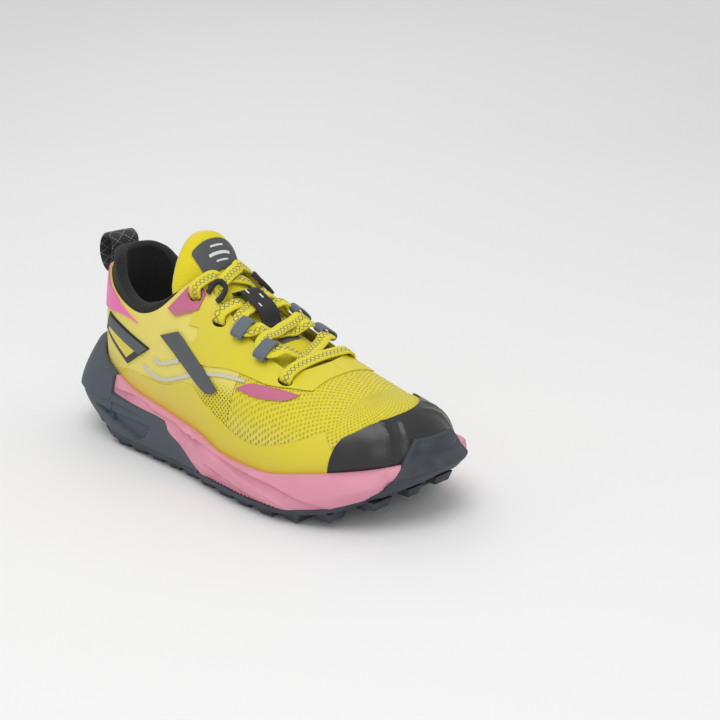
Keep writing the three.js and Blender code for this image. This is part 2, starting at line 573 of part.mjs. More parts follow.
// Welded films. Each is cut from its layer by its outline in the side view.
const both = [["lateral", -1], ["medial", 1]];
const panel = (order, points, sign) => film(order).intersect(sidePrism(points, sign)).intersect(half(sign));
for (const [name, sign] of both) {
  const patch = panel(1, EYELET_PATCH, sign).subtract(collarCut()).subtract(throat());
  add(`rand_${name}`, panel(0, RAND, sign), "yellow_film");
  add(`eyestay_${name}`, panel(0, EYESTAY, sign).subtract(throat()).subtract(holes()), "yellow_film");
  add(`heel_badge_${name}`, panel(0, BADGE, sign), "yellow_film");
  add(`eyelet_patch_${name}`, patch.subtract(holes()), "rose_film");
  add(`forefoot_flash_${name}`, panel(0, FLASH, sign), "rose_film");
  add(`side_slash_${name}`, panel(1, SLASH, sign), "grey_print");
  add(`piping_upper_${name}`, panel(0, PIPING_UPPER, sign), "silver_print");
  add(`piping_lower_${name}`, panel(0, PIPING_LOWER, sign), "silver_print");
}
add("heel_overlay", film(0).intersect(sidePrism(HEEL_PATCH)), "pink_film");
// The cap's lower back corners make way for the rands.
add("toe_cap", film(0).intersect(topPrism(TOE_CAP)).subtract(sidePrism(CAP_SIDE)), "black_gloss");

// ---------------------------------------------------------------- tongue
const tongueFoot = (r) => r.rim - TONGUE_FOOT;
// A part of the tongue: its face this deep under the upper's surface, cut out by its outline from above.
function tonguePart(depth, thick, points, lowest) {
  return layer(-depth, -depth - thick, tongueFoot).intersect(topPrism(points, gradeZ(lowest), 220));
}
const PAD_DEPTH = 1.6;
const LABEL_DEPTH = PAD_DEPTH - GAP - FILM;
const PATCH_GAP = 0.25; // the printed patch over the tongue
add("tongue", tonguePart(TONGUE_DEPTH, TONGUE, TONGUE_LOW, 45), "yellow_mesh");
const WING_CUT = [[80, 78], [80, 99], [86, 97], [92, 88], [92, 78]]; // room for the fold beside the collar
const pad = tonguePart(PAD_DEPTH, TONGUE_PAD, TONGUE_TOP, 80);
add("tongue_top", pad.subtract(sidePrism(WING_CUT)), "yellow_mesh");
add("tongue_label", tonguePart(LABEL_DEPTH, FILM, LABEL, 80), "grey_print");
add("tongue_patch", tonguePart(TONGUE_DEPTH - PATCH - PATCH_GAP, PATCH, TONGUE_PATCH, 60), "grey_print");

// ---------------------------------------------------------------- straps and laces
const STRAP_SECTION = [[-1, 0], [-0.8, -1], [0.8, -1], [1, 0], [0.8, 1], [-0.8, 1]]; // in half sizes
// A flat strap swept along points; at each point the given side vector is its width direction.
function strap(points, sides, width, thick) {
  const rows = points.map((p, i) => {
    const ahead = points[Math.min(i + 1, points.length - 1)];
    const behind = points[Math.max(i - 1, 0)];
    const along = ahead.clone().sub(behind).normalize();
    const across = sides[i].clone().addScaledVector(along, -sides[i].dot(along)).normalize();
    const up = along.clone().cross(across);
    return STRAP_SECTION.map(([a, b]) => {
      const edge = p.clone().addScaledVector(across, (a * width) / 2);
      return edge.addScaledVector(up, (b * thick) / 2);
    });
  });
  const fan = (loop, flip) => loop.slice(1, -1).map((p, i) => {
    const next = loop[i + 2];
    return flip ? [loop[0], next, p] : [loop[0], p, next];
  });
  return outwards([...skin(rows, false, true), ...fan(rows[0], false), ...fan(rows.at(-1), true)]);
}
// Even steps along a smooth line through places, each one a point or (x, y, height over the upper).
function overUpper(points, step) {
  const places = points.map((p) => (p.isVector3 ? p : onUpper(...p)));
  const line = new THREE.CatmullRomCurve3(places, false, "centripetal");
  return line.getSpacedPoints(Math.round(line.getLength() / step));
}
// Width directions that keep a strap flat on the upper, without a sudden half turn.
function flatSides(points, first) {
  let last = first;
  return points.map((p, i) => {
    const [ahead, behind] = [points[Math.min(i + 1, points.length - 1)], points[Math.max(i - 1, 0)]];
    const along = ahead.clone().sub(behind).normalize();
    const across = normalAt(p).cross(along);
    if (across.length() > 0.5) {
      across.normalize();
      if (across.dot(last) < 0) across.negate();
      last = across;
    }
    return last.clone();
  });
}

// The lace. It is one cord: two halves zigzag up from the bar in the first row and end inside the collar.
const OVER = 0.2; // a strand that passes over another
const UNDER = -2.8; // a strand that lies on the tongue
const EDGE_LIFT = 1.4; // how far a strand has risen where it nears the edge of the throat
const OUTSIDE = FILM + GAP * 2 + LACE_THICK / 2; // on the film
const OUTSIDE_PATCH = OUTSIDE + FILM + GAP; // on the eyelet patch
const INSIDE_UPPER = -UPPER - (TONGUE_DEPTH - UPPER) / 2; // between the upper and the tongue
const LOOP_ROOM = 3.4; // height inside a webbing loop
const LOOP_REST = FILM + 2 * GAP + WEBBING + LOOP_ROOM / 2; // centre of the lace inside a webbing loop

// Down through an eyelet, round and back underneath.
function dive(x, y, top) {
  const above = [[5.5, top + 0.5], [1.5, top - 0.1], [0, -0.1]];
  const below = [[1.6, INSIDE_UPPER + 0.2], [4.5, INSIDE_UPPER]];
  return [...above, ...below].map(([a, b]) => local(x, y, a, b));
}
// A place between the upper and the tongue, lower down the wall than a spot given from above.
function insideWall(x, y, drop) {
  const r = rib(x, 0, Math.sign(y));
  const z = upperHeight(x, y, 0) - drop;
  return onRib(r, upperOut(r, z, INSIDE_UPPER), z);
}
// Down through the last eyelet and on inside, to the hidden end.
const TAIL = 11; // how far forward the lace runs on inside
const TAIL_DROP = 11; // and how far down
function tuck(x, y, top) {
  const down = [[6, top + 1.1], [2.6, top + 0.8], [0.4, 1], [-0.2, -0.6]];
  const inside = [[0.5, 1.5], [2, 5], [6, 9], [TAIL, TAIL_DROP]];
  const above = down.map(([a, b]) => local(x, y, a, b));
  return [...above, ...inside.map(([dx, drop]) => insideWall(x + dx, y, drop))];
}
// Through a webbing loop and back.
function round(x, y, s) {
  const way = [[6.4, 7, OUTSIDE + 1.2], [5, 1.8, LOOP_REST], [3, 0, LOOP_REST]];
  const there = way.map(([dx, dy, d]) => [x + dx, y + dy * s, d]);
  const back = way.reverse().map(([dx, dy, d]) => [x - dx, y + dy * s, d]);
  return [...there, [x, y - 0.3 * s, LOOP_REST], ...back];
}
// Across the tongue from one row to the next, keeping its height over the middle.
const MIDLINE = -2; // the strands cross a little to the outer side
function cross(x0, x1, s, d, start = EDGE_LIFT + d / 3) {
  const steps = [[11, start], [5.5, d], [0, d], [-5.5, d], [-11, EDGE_LIFT + d / 3]];
  return steps.map(([y, height], i) => [x0 + ((x1 - x0) * (i + 1)) / 6, y * s + MIDLINE, height]);
}

function zigzag(s, heights) {
  const y = (i, sign) => (sign < 0 ? ROWS[i].lateral : ROWS[i].medial);
  const x = ROWS.map((row) => row.x);
  const mouth = 6.2; // where a strand enters or leaves a webbing loop, from its middle
  return [
    ...dive(x[0], y(0, s), OUTSIDE),
    ...cross(x[0], x[1] + mouth, s, heights[0], heights[0] + 0.5),
    ...round(x[1], y(1, -s), s),
    ...cross(x[1] - mouth, x[2] + mouth, -s, heights[1]),
    ...round(x[2], y(2, s), -s),
    ...cross(x[2] - mouth, x[3], s, heights[2]),
    ...dive(x[3], y(3, -s), OUTSIDE).slice(0, 4),
    local(x[3] - 3.5, y(3, -s), 3, INSIDE_UPPER),
    [x[4] + 2, y(4, -s) - 0.5 * s, INSIDE_UPPER],
    [x[4], y(4, -s) + 3 * s, INSIDE_UPPER + 0.4],
    ...cross(x[4] - 1, x[5], -s, heights[3], heights[3] + 0.5),
    ...tuck(x[5], y(5, s), OUTSIDE_PATCH),
  ];
}
const lateralHalf = zigzag(-1, [OVER, UNDER, OVER, UNDER]);
const medialHalf = zigzag(1, [UNDER, OVER, UNDER, OVER]);
const bar = [[ROWS[0].x + 0.5, 12, 2.2], [ROWS[0].x + 1, -3, 1.6], [ROWS[0].x + 0.5, -18, 2.2]];
const LACE_STEP = 3.4;
const lacePoints = overUpper([...medialHalf.reverse(), ...bar, ...lateralHalf], LACE_STEP);
const laceSides = flatSides(lacePoints, new THREE.Vector3(1, 0, 0));
add("lace", strap(lacePoints, laceSides, LACE_WIDTH, LACE_THICK), "lace");

// Webbing loops at the edge of the throat: a flat sleeve that the lace runs through.
const SLEEVE = 5;
const SLEEVE_ROOM = 2.5; // beside the lace, on each side
function sleeve(x, y) {
  const [w, h] = [LACE_WIDTH / 2 + SLEEVE_ROOM, LOOP_ROOM / 2];
  const ring = (grow) => [[-1, -1], [1, -1], [1, 1], [-1, 1]]
    .map(([a, b]) => new THREE.Vector2(a * (w + grow), b * (h + grow)));
  const shape = new THREE.Shape(ring(WEBBING));
  shape.holes.push(new THREE.Path(ring(0).reverse()));
  const made = new THREE.ExtrudeGeometry(shape, { depth: SLEEVE, bevelEnabled: false, steps: 1 });
  made.translate(0, 0, -SLEEVE / 2);
  const at = onUpper(x, y, LOOP_REST);
  const up = normalAt(at);
  const across = up.clone().cross(new THREE.Vector3(1, 0, 0)).normalize();
  made.applyMatrix4(new THREE.Matrix4().makeBasis(across, up, across.clone().cross(up)));
  return solid(made.translate(...at.toArray()));
}
for (const i of WEBBED)
  for (const [name] of both) {
    const { x, [name]: y } = ROWS[i];
    add(`webbing_loop_${i}_${name}`, sleeve(x, y), "grey_webbing");
  }

// Black cord loops that hold the lace down beside the tongue.
const CORD_SIDES = 8;
const CORD_STEPS = 14;
function tube(points, radius) {
  const line = new THREE.CatmullRomCurve3(points, false, "centripetal");
  const circle = new THREE.Shape(Array.from({ length: CORD_SIDES }, (_, i) => {
    const angle = (i * 2 * Math.PI) / CORD_SIDES;
    return new THREE.Vector2(radius * Math.cos(angle), radius * Math.sin(angle));
  }));
  const path = { steps: CORD_STEPS, extrudePath: line, bevelEnabled: false };
  const made = new THREE.ExtrudeGeometry(circle, path);
  return solid(made);
}
const CORD_REST = FILM + 2.5 * GAP + CORD / 2;
const CORD_BOW = [[-3.6, 2.5], [-4, -1], [-3, -4.5], [0, -6], [3, -4.5], [4, -1], [3.6, 2.5]];
for (const [name, s] of both) {
  const { x, [name]: y } = ROWS[4];
  const route = CORD_BOW.map(([dx, dy]) => onUpper(x + dx, y + s * dy, CORD_REST + (dy < -2 ? GAP : 0)));
  add(`cord_loop_${name}`, tube(route, CORD / 2), "black_knit");
}

// The strap on the tongue that the laces pass under.
const KEEPER_WIDTH = 14;
const KEEPER_THICK = 0.9;
const KEEPER_STEP = 2.4;
const KEEPER = [[116.8, -3.9], [119, -3.6], [122, 1], [125.5, 2.4], [130.5, 2.6], [135.5, 2.4], [138.8, 1],
  [141.4, -3.6], [143.6, -3.9]];
const keeperPoints = overUpper(KEEPER.map(([x, d]) => [gradeX(x), MIDLINE, d]), KEEPER_STEP);
const keeperSides = keeperPoints.map(() => new THREE.Vector3(0, 1, 0));
add("lace_keeper", strap(keeperPoints, keeperSides, KEEPER_WIDTH, KEEPER_THICK), "grey_print");

// Plastic tips on the hidden ends of the lace.
const AGLET = 10;
const AGLET_WIDTH = 3.4;
const AGLET_THICK = 1.9;
const AGLET_START = 0.6; // clear of the end of the lace
for (const [name, end] of [["lateral", -1], ["medial", 0]]) {
  const { x, [name]: y } = ROWS[5];
  const points = [AGLET_START, AGLET / 2, AGLET].map((d) => insideWall(x + TAIL + d, y, TAIL_DROP + d / 4));
  const sides = points.map(() => laceSides.at(end));
  add(`aglet_${name}`, strap(points, sides, AGLET_WIDTH, AGLET_THICK), "clear_plastic");
}

// Pull loop at the heel: a band of webbing closed on itself, folding about its sewn foot.
const PULL = [[8.3, 94], [3.4, 97.5], [0.8, 105], [2.6, 113], [7.6, 117], [12.6, 113.5], [12.4, 106],
  [10.4, 99]];
const PULL_STEPS = 24;
const PULL_HALF = WEBBING * 0.7; // half the thickness of the doubled band
function pullLoop() {
  const corners = PULL.map(([x, z]) => new THREE.Vector3(x, gradeZ(z), 0));
  const line = new THREE.CatmullRomCurve3(corners, true, "centripetal");
  const points = line.getSpacedPoints(PULL_STEPS).slice(0, -1).reverse();
  const offset = (d) => points.map((p, i) => {
    const along = points[(i + 1) % points.length].clone().sub(points.at(i - 1)).normalize();
    return new THREE.Vector2(p.x - along.y * d, p.y + along.x * d);
  });
  const shape = new THREE.Shape(offset(-PULL_HALF));
  shape.holes.push(new THREE.Path(offset(PULL_HALF)));
  const made = new THREE.ExtrudeGeometry(shape, { depth: PULL_WIDTH, bevelEnabled: false, steps: 1 });
  return solid(made.rotateX(Math.PI / 2).translate(0, PULL_WIDTH / 2, 0));
}
add("pull_loop", pullLoop(), "black_knit");
const [ANCHOR_FRONT, ANCHOR_LOW, ANCHOR_HIGH] = [SPINE_HEEL - 10, gradeZ(79), gradeZ(91)];
const anchorBox = box(-FAR, ANCHOR_FRONT, -PULL_WIDTH / 2, PULL_WIDTH / 2, ANCHOR_LOW, ANCHOR_HIGH);
add("pull_loop_anchor", film(1).intersect(anchorBox), "black_knit");

// The finished shoe stands on z = 0, its box centred on the z axis.
const extent = new THREE.Box3().setFromObject(shoe);
const centre = extent.getCenter(new THREE.Vector3());
shoe.position.set(-centre.x, -centre.y, -extent.min.z);

export default shoe;
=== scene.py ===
# %% [markdown]
# # A trail running shoe
# The shoe is laid up as it is on the last: a board and a sock liner, a mesh upper with welded films, a
# padded collar and tongue, a lace, and a sole of slate foam, pink foam and lugged rubber. Every visible
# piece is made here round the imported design, in the same frame: +X to the toe, +Y to the inner side of
# the foot, +Z up. Sizes are in millimetres in the pattern's own frame, with x = 0 at the back of the
# heel, until a piece is finished, and then they are placed in metres.

# %% Load the fixed frame
import math

import bmesh
import bpy
import numpy as np
from mathutils import Matrix, Vector


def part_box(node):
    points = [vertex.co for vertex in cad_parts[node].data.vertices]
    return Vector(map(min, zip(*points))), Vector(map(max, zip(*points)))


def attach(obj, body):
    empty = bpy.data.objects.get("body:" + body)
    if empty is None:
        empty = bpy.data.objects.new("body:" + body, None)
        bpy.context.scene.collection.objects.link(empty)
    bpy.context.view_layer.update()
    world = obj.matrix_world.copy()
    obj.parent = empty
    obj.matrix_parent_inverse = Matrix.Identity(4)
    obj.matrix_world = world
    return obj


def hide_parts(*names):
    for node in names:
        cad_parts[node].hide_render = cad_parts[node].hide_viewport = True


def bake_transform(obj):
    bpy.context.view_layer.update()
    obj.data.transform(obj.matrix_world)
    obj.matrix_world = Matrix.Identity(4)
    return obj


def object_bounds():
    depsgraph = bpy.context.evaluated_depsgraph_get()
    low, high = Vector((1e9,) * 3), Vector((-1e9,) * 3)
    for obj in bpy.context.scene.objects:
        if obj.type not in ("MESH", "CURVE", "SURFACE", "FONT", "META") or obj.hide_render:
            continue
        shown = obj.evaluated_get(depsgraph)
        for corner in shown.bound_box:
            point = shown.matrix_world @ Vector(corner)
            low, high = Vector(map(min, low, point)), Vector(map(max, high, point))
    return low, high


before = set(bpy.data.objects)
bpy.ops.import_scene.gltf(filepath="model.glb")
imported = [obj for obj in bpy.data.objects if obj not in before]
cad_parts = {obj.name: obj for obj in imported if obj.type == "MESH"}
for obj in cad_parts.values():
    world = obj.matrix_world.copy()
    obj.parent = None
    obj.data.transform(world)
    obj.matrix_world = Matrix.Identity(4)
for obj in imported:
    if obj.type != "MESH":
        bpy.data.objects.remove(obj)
cad_size = [list(corner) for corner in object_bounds()]
print("CAD box", cad_size)

MM = 0.001
BOARD_HEEL = 10  # where the board's heel lies in the pattern
BOARD_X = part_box("strobel_board")[0].x / MM
PULL_LOW, PULL_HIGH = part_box("pull_loop")
SHIFT = Vector((BOARD_X - BOARD_HEEL, (PULL_LOW.y + PULL_HIGH.y) / 2 / MM, 0))
TO_ROW = Matrix.Scale(MM, 4) @ Matrix.Translation(SHIFT)
print("pattern to row frame", [round(v, 2) for v in SHIFT])

# %% [markdown]
# ## Camera first
# The view is that of a long lens in front of the shoe's outer side, a little above it. A camera could be
# aimed by eye, but an aim point, two angles, a distance and a lens say the same thing in five numbers.

# %% The camera
AIM = TO_ROW @ Vector((146.7, 63.3, 50))
AZIMUTH, ELEVATION = math.radians(42.5), math.radians(17)
DISTANCE = 0.8198
LENS = 70.0


def look_from(aim, azimuth, elevation, distance):
    """The place that looks at aim from a compass angle and a height angle."""
    level = math.cos(elevation)
    away = Vector((math.sin(azimuth) * level, -math.cos(azimuth) * level, math.sin(elevation)))
    return aim + away * distance


camera_data = bpy.data.cameras.new("camera")
camera_data.lens = LENS
camera_data.sensor_width = 36
camera = bpy.data.objects.new("camera", camera_data)
camera.location = look_from(AIM, AZIMUTH, ELEVATION, DISTANCE)
camera.rotation_euler = (AIM - camera.location).to_track_quat("-Z", "Y").to_euler()
bpy.context.scene.collection.objects.link(camera)
bpy.context.scene.camera = camera
print("camera at", [round(v, 3) for v in camera.location])

# %% [markdown]
# ## The last: curves that every layer follows
# A shoe is graded from a few lines: the outline of the foot and of the sole seen from above, and heights
# along the shoe. A spline tool could draw them, but a monotone cubic through a few heights never
# overshoots them, so a flat stretch stays flat.


# %% Curves
def profile(points):
    """A smooth height along the shoe through a few (x, z) points."""
    xs, zs = np.array(points, float).T
    step = np.diff(xs)
    rise = np.diff(zs) / step
    slope = np.empty(len(xs))
    slope[0], slope[-1] = rise[0], rise[-1]
    for i in range(1, len(xs) - 1):
        a, b = rise[i - 1], rise[i]
        slope[i] = 0 if a * b <= 0 else 2 * a * b / (a + b)

    def height(x):
        if x <= xs[0]:
            return float(zs[0])
        if x >= xs[-1]:
            return float(zs[-1])
        i = int(np.searchsorted(xs, x, "right")) - 1
        t = (x - xs[i]) / step[i]
        ease = t * t * (3 - 2 * t)
        bend = step[i] * t * (1 - t) * (slope[i] * (1 - t) - slope[i + 1] * t)
        return float(zs[i] * (1 - ease) + zs[i + 1] * ease + bend)

    return height


def spline(p0, p1, p2, p3, t):
    """One Catmull-Rom step from p1 to p2."""
    return 0.5 * (2 * p1 + (p2 - p0) * t + (2 * p0 - 5 * p1 + 4 * p2 - p3) * t * t
                  + (3 * p1 - p0 - 3 * p2 + p3) * t ** 3)


def outline(points, steps=20):
    """A closed smooth outline seen from above, as an array of (x, y)."""
    p = np.array(points, float)
    n = len(p)
    line = [spline(p[i - 1], p[i], p[(i + 1) % n], p[(i + 2) % n], k / steps)
            for i in range(n) for k in range(steps)]
    return np.array(line + [line[0]])


def softened(points, corner=38, steps=4):
    """A closed pattern piece whose gentle turns are rounded and whose sharp corners stay."""
    p = [Vector(q) for q in points]
    n = len(p)
    turn = [math.degrees((p[i] - p[i - 1]).angle(p[(i + 1) % n] - p[i], 0)) for i in range(n)]
    made = []
    for i in range(n):
        a, b = p[i], p[(i + 1) % n]
        before = a * 2 - b if turn[i] > corner else p[i - 1]
        after = b * 2 - a if turn[(i + 1) % n] > corner else p[(i + 2) % n]
        made += [spline(before, a, b, after, k / steps) for k in range(steps)]
    return made


FOOT_LINE = outline([
    (10, 0), (14, -16), (29, -28), (52, -34), (85, -37), (115, -41), (145, -46), (172, -50), (197, -49),
    (218, -42), (238, -29), (249, -14), (255, 4), (252, 18), (242, 31), (225, 40), (200, 44.5), (175, 43.5),
    (148, 38), (120, 33.5), (90, 31.5), (60, 31.5), (33, 28), (15, 16)])
SOLE_LINE = outline([
    (-11, 0), (-5, -22), (15, -36), (45, -42), (78, -45), (112, -48), (145, -54), (172, -57.5), (198, -57),
    (221, -50), (243, -36), (258, -17), (263, 4), (260, 21), (247, 36), (226, 46.5), (201, 50.5),
    (176, 50), (149, 44.5), (120, 40.5), (90, 39.5), (58, 40.5), (26, 35), (2, 21)])
GROUND = profile([(-10, 20), (0, 11), (10, 4.5), (25, 1), (45, 0), (190, 0), (215, 3), (238, 11), (252, 19),
                  (263, 26)])
RIM_HEIGHT = profile([(-10, 58), (6, 58), (20, 52), (45, 43), (70, 36), (100, 32), (125, 29), (150, 23.5),
                      (180, 23.5), (210, 28), (240, 33), (262, 38)])
WIDEST = profile([(-10, 30), (30, 24), (80, 18), (130, 13), (200, 12), (235, 24), (262, 38)])
BED = profile([(0, 36), (60, 34), (100, 27), (150, 18.5), (190, 16.5), (220, 20), (255, 30)])
RIDGE = profile([(38, 146), (60, 140), (85, 128), (110, 107), (135, 92), (160, 80), (185, 70), (215, 60)])
CARRIER_TOP = profile([(46, 33), (69, 30), (96, 28), (101, 23), (112, 19), (124, 13), (132, 8.4)])
WRAP_TOP = profile([(200, 7.9), (214, 8.6), (225, 10), (235, 14), (246, 22), (251, 27), (256, 36),
                    (260, 46)])
SPINE_HEEL, SPINE_TOE = 38, 215  # the ribs fan round the heel and the toe beyond these
print("outline points", len(FOOT_LINE), len(SOLE_LINE))

# %% [markdown]
# ## Ribs
# A rib is a vertical section of the shoe. Along the sides the ribs look straight out, and round the heel
# and the toe they fan. One number runs all the way round: 0 at the heel, 1 at the toe down the outer
# side, and 2 back at the heel up the inner side. A lofted surface could do this too, but ribs let each
# layer be the same surface a little further out, which is how a real upper is stacked.

# %% Ribs of the last
HEEL_SHARE, TOE_SHARE = 0.16, 0.16  # of half the way round


def reach(line, x, ex, ey):
    """How far a ray from (x, 0) goes before it meets the outline."""
    a, d = line[:-1], np.diff(line, axis=0)
    det = d[:, 0] * ey - d[:, 1] * ex
    with np.errstate(divide="ignore", invalid="ignore"):
        along = ((x - a[:, 0]) * ey + a[:, 1] * ex) / det
        out = (d[:, 1] * (a[:, 0] - x) - d[:, 0] * a[:, 1]) / -det
    hit = (np.abs(det) > 1e-9) & (along >= -1e-9) & (along <= 1 + 1e-9)
    return float(out[hit].max())


class Rib:
    """A section plane that starts at (x, 0) and looks along (ex, ey)."""

    def __init__(self, x, ex, ey):
        self.x, self.ex, self.ey = x, ex, ey
        self.foot = reach(FOOT_LINE, x, ex, ey)
        self.sole = reach(SOLE_LINE, x, ex, ey)
        self.at = x + ex * self.foot
        self.rim, self.ridge, self.bed = RIM_HEIGHT(self.at), RIDGE(x), BED(self.at)

    def point(self, out, z):
        return Vector((self.x + self.ex * out, self.ey * out, z))


rib_store = {}


def rib_round(w):
    """The rib at a place round the shoe."""
    w = round(w % 2, 6)
    if w not in rib_store:
        side, u = (-1, w) if w <= 1 else (1, 2 - w)
        if u < HEEL_SHARE:
            angle = (1 - u / HEEL_SHARE) * math.pi / 2
            rib_store[w] = Rib(SPINE_HEEL, -math.sin(angle), side * math.cos(angle))
        elif u > 1 - TOE_SHARE:
            angle = (1 - (1 - u) / TOE_SHARE) * math.pi / 2
            rib_store[w] = Rib(SPINE_TOE, math.sin(angle), side * max(0.0, math.cos(angle)))
        else:
            share = (u - HEEL_SHARE) / (1 - HEEL_SHARE - TOE_SHARE)
            rib_store[w] = Rib(SPINE_HEEL + (SPINE_TOE - SPINE_HEEL) * share, 0, side)
    return rib_store[w]


def around(x, side):
    """The place round the shoe of the straight rib at x."""
    u = HEEL_SHARE + (x - SPINE_HEEL) / (SPINE_TOE - SPINE_HEEL) * (1 - HEEL_SHARE - TOE_SHARE)
    return u if side < 0 else 2 - u


SIDE_POWER, TOP_POWER = 2.3, 1.9  # roundness of the upper's section


def upper_out(r, z, d):
    """How far out the upper lies at a height, offset outwards by d."""
    if z <= r.rim:
        return r.foot + d
    rise = min(1.0, (z - r.rim) / (r.ridge + d - r.rim))
    return (r.foot + d) * math.cos(math.asin(rise ** (TOP_POWER / 2))) ** (2 / SIDE_POWER)


def upper_point(r, t, d):
    """A point of the upper: t = 0 at the rim, 1 at the ridge, and below 0 down behind the rim."""
    if t < 0:
        return r.point(r.foot + d, r.rim + t * 20)
    a = t * math.pi / 2
    out = 0 if t >= 1 else (r.foot + d) * math.cos(a) ** (2 / SIDE_POWER)
    return r.point(out, r.rim + (r.ridge + d - r.rim) * math.sin(a) ** (2 / TOP_POWER))


def upper_height(x, y, d):
    """Height of the upper above a point seen from above."""
    r = Rib(x, 0, -1 if y < 0 else 1)
    a = math.acos(min(1.0, abs(y) / (r.foot + d)) ** (SIDE_POWER / 2))
    return r.rim + (r.ridge + d - r.rim) * math.sin(a) ** (2 / TOP_POWER)


def on_upper(x, y, d):
    return Vector((x, y, upper_height(x, y, d)))


def slope_at(x, y, d, h=0.5):
    along = upper_height(x - h, y, d) - upper_height(x + h, y, d)
    across = upper_height(x, y - h, d) - upper_height(x, y + h, d)
    return Vector((along, across, 2 * h)).normalized()


def normal_at(p):
    """The direction square to the upper at a point on it or above it."""
    return slope_at(p.x, p.y, (p.z - upper_height(p.x, p.y, 0)) * slope_at(p.x, p.y, 0).z)


LUG, SHEET, WRAP, RIM = 4.5, 2.2, 2.2, 4.7


def tuck_at(x):
    """How far the side wall tucks in towards the ground."""
    return float(np.interp(x, [28, 42, 226, 238], [9, 2.5, 2.5, 7]))


def wall_out(r, z):
    """The sole's side wall: it flares from the rim to its widest line and tucks in below it."""
    widest = WIDEST(r.at)
    rim_out = upper_out(r, z, RIM + float(np.interp(r.at, [218, 232], [0, 1.5])))
    if z >= r.rim:
        return rim_out
    if z >= widest:
        s = ((z - widest) / (r.rim - widest)) ** 1.4
        return r.sole * (1 - s) + rim_out * s
    floor = GROUND(r.at) + LUG
    return r.sole - tuck_at(r.at) * ((widest - z) / (widest - floor)) ** 1.5


print("rib at the ball: foot", round(rib_round(0.6).foot, 1), "sole", round(rib_round(0.6).sole, 1))

# %% [markdown]
# ## From a grid to a piece
# Blender makes a flat grid and every corner of it is then moved to its place on the last, so neighbouring
# faces stay joined and the surface flows round the shoe. The same grid carries a UV map in millimetres,
# which the weaves follow. A scan or a sculpt could give a surface too, but not one whose layers fit each
# other.

# %% Grid, cutter and finish helpers
scene = bpy.context.scene


def grid_mesh(nu, nv, place, caps=True):
    """A grid of nu by nv cells whose corners are moved by place(u, v); its ends are closed."""
    bm = bmesh.new()
    bmesh.ops.create_grid(bm, x_segments=nu, y_segments=nv, size=1)
    uv = bm.loops.layers.uv.new("flow")
    flat = {v: ((v.co.x + 1) / 2, (v.co.y + 1) / 2) for v in bm.verts}
    for v in bm.verts:
        v.co = place(*flat[v])
    run = [Vector(place(i / nu, 0.25)) for i in range(nu + 1)]
    girth = [Vector(place(0.5, j / nv)) for j in range(nv + 1)]
    u_length = np.cumsum([0] + [(b - a).length for a, b in zip(run, run[1:])])
    v_length = np.cumsum([0] + [(b - a).length for a, b in zip(girth, girth[1:])])
    for face in bm.faces:
        for loop in face.loops:
            u, v = flat[loop.vert]
            loop[uv].uv = (np.interp(u * nu, range(nu + 1), u_length),
                           np.interp(v * nv, range(nv + 1), v_length))
    bmesh.ops.remove_doubles(bm, verts=bm.verts, dist=0.002)
    if caps:
        bmesh.ops.holes_fill(bm, edges=[e for e in bm.edges if e.is_boundary], sides=0)
    bmesh.ops.recalc_face_normals(bm, faces=bm.faces)
    return bm


def as_object(bm, name):
    mesh = bpy.data.meshes.new(name)
    bm.to_mesh(mesh)
    bm.free()
    made = bpy.data.objects.new(name, mesh)
    scene.collection.objects.link(made)
    return made


def prism(points, axis, low, high):
    """A closed cutter: an outline pushed along an axis, y for a side view and z for a plan."""
    bm = bmesh.new()
    corners = [bm.verts.new((p[0], low, p[1]) if axis == "y" else (p[0], p[1], low)) for p in points]
    pushed = bmesh.ops.extrude_face_region(bm, geom=[bm.faces.new(corners)])["geom"]
    along = Vector((0, high - low, 0)) if axis == "y" else Vector((0, 0, high - low))
    bmesh.ops.translate(bm, verts=[v for v in pushed if isinstance(v, bmesh.types.BMVert)], vec=along)
    bmesh.ops.recalc_face_normals(bm, faces=bm.faces)
    return as_object(bm, "cutter")


def side_cut(points, side=0):
    """A cutter from the side view, on one side of the shoe or right through it."""
    low, high = {-1: (-120, -0.1), 1: (0.1, 120), 0: (-120, 120)}[side]
    return prism(softened(points), "y", low, high)


def top_cut(points, low=0, high=200):
    return prism(softened(points), "z", low, high)


def cut(piece, cutter, operation="INTERSECT"):
    """Cuts a piece to its pattern and removes the cutter."""
    knife = piece.modifiers.new("cut", "BOOLEAN")
    knife.object, knife.operation, knife.solver = cutter, operation, "EXACT"
    bpy.context.view_layer.update()
    result = bpy.data.meshes.new_from_object(piece.evaluated_get(bpy.context.evaluated_depsgraph_get()))
    piece.modifiers.clear()
    piece.data = result
    bpy.data.objects.remove(cutter)
    return piece


def finish_piece(piece, name, material, slot, *nodes, body="shoe", angle=38):
    """Places a piece in the row frame, shades it, and hides the design's pieces that it stands for."""
    piece.name = piece.data.name = name
    piece.data.transform(TO_ROW)
    for polygon in piece.data.polygons:
        polygon.use_smooth = True
    piece.data.set_sharp_from_angle(angle=math.radians(angle))
    piece.data.materials.clear()
    piece.data.materials.append(material)
    if nodes:
        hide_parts(*nodes)
    if body:
        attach(piece, body)
    print(name, len(piece.data.polygons), "faces")
    return piece


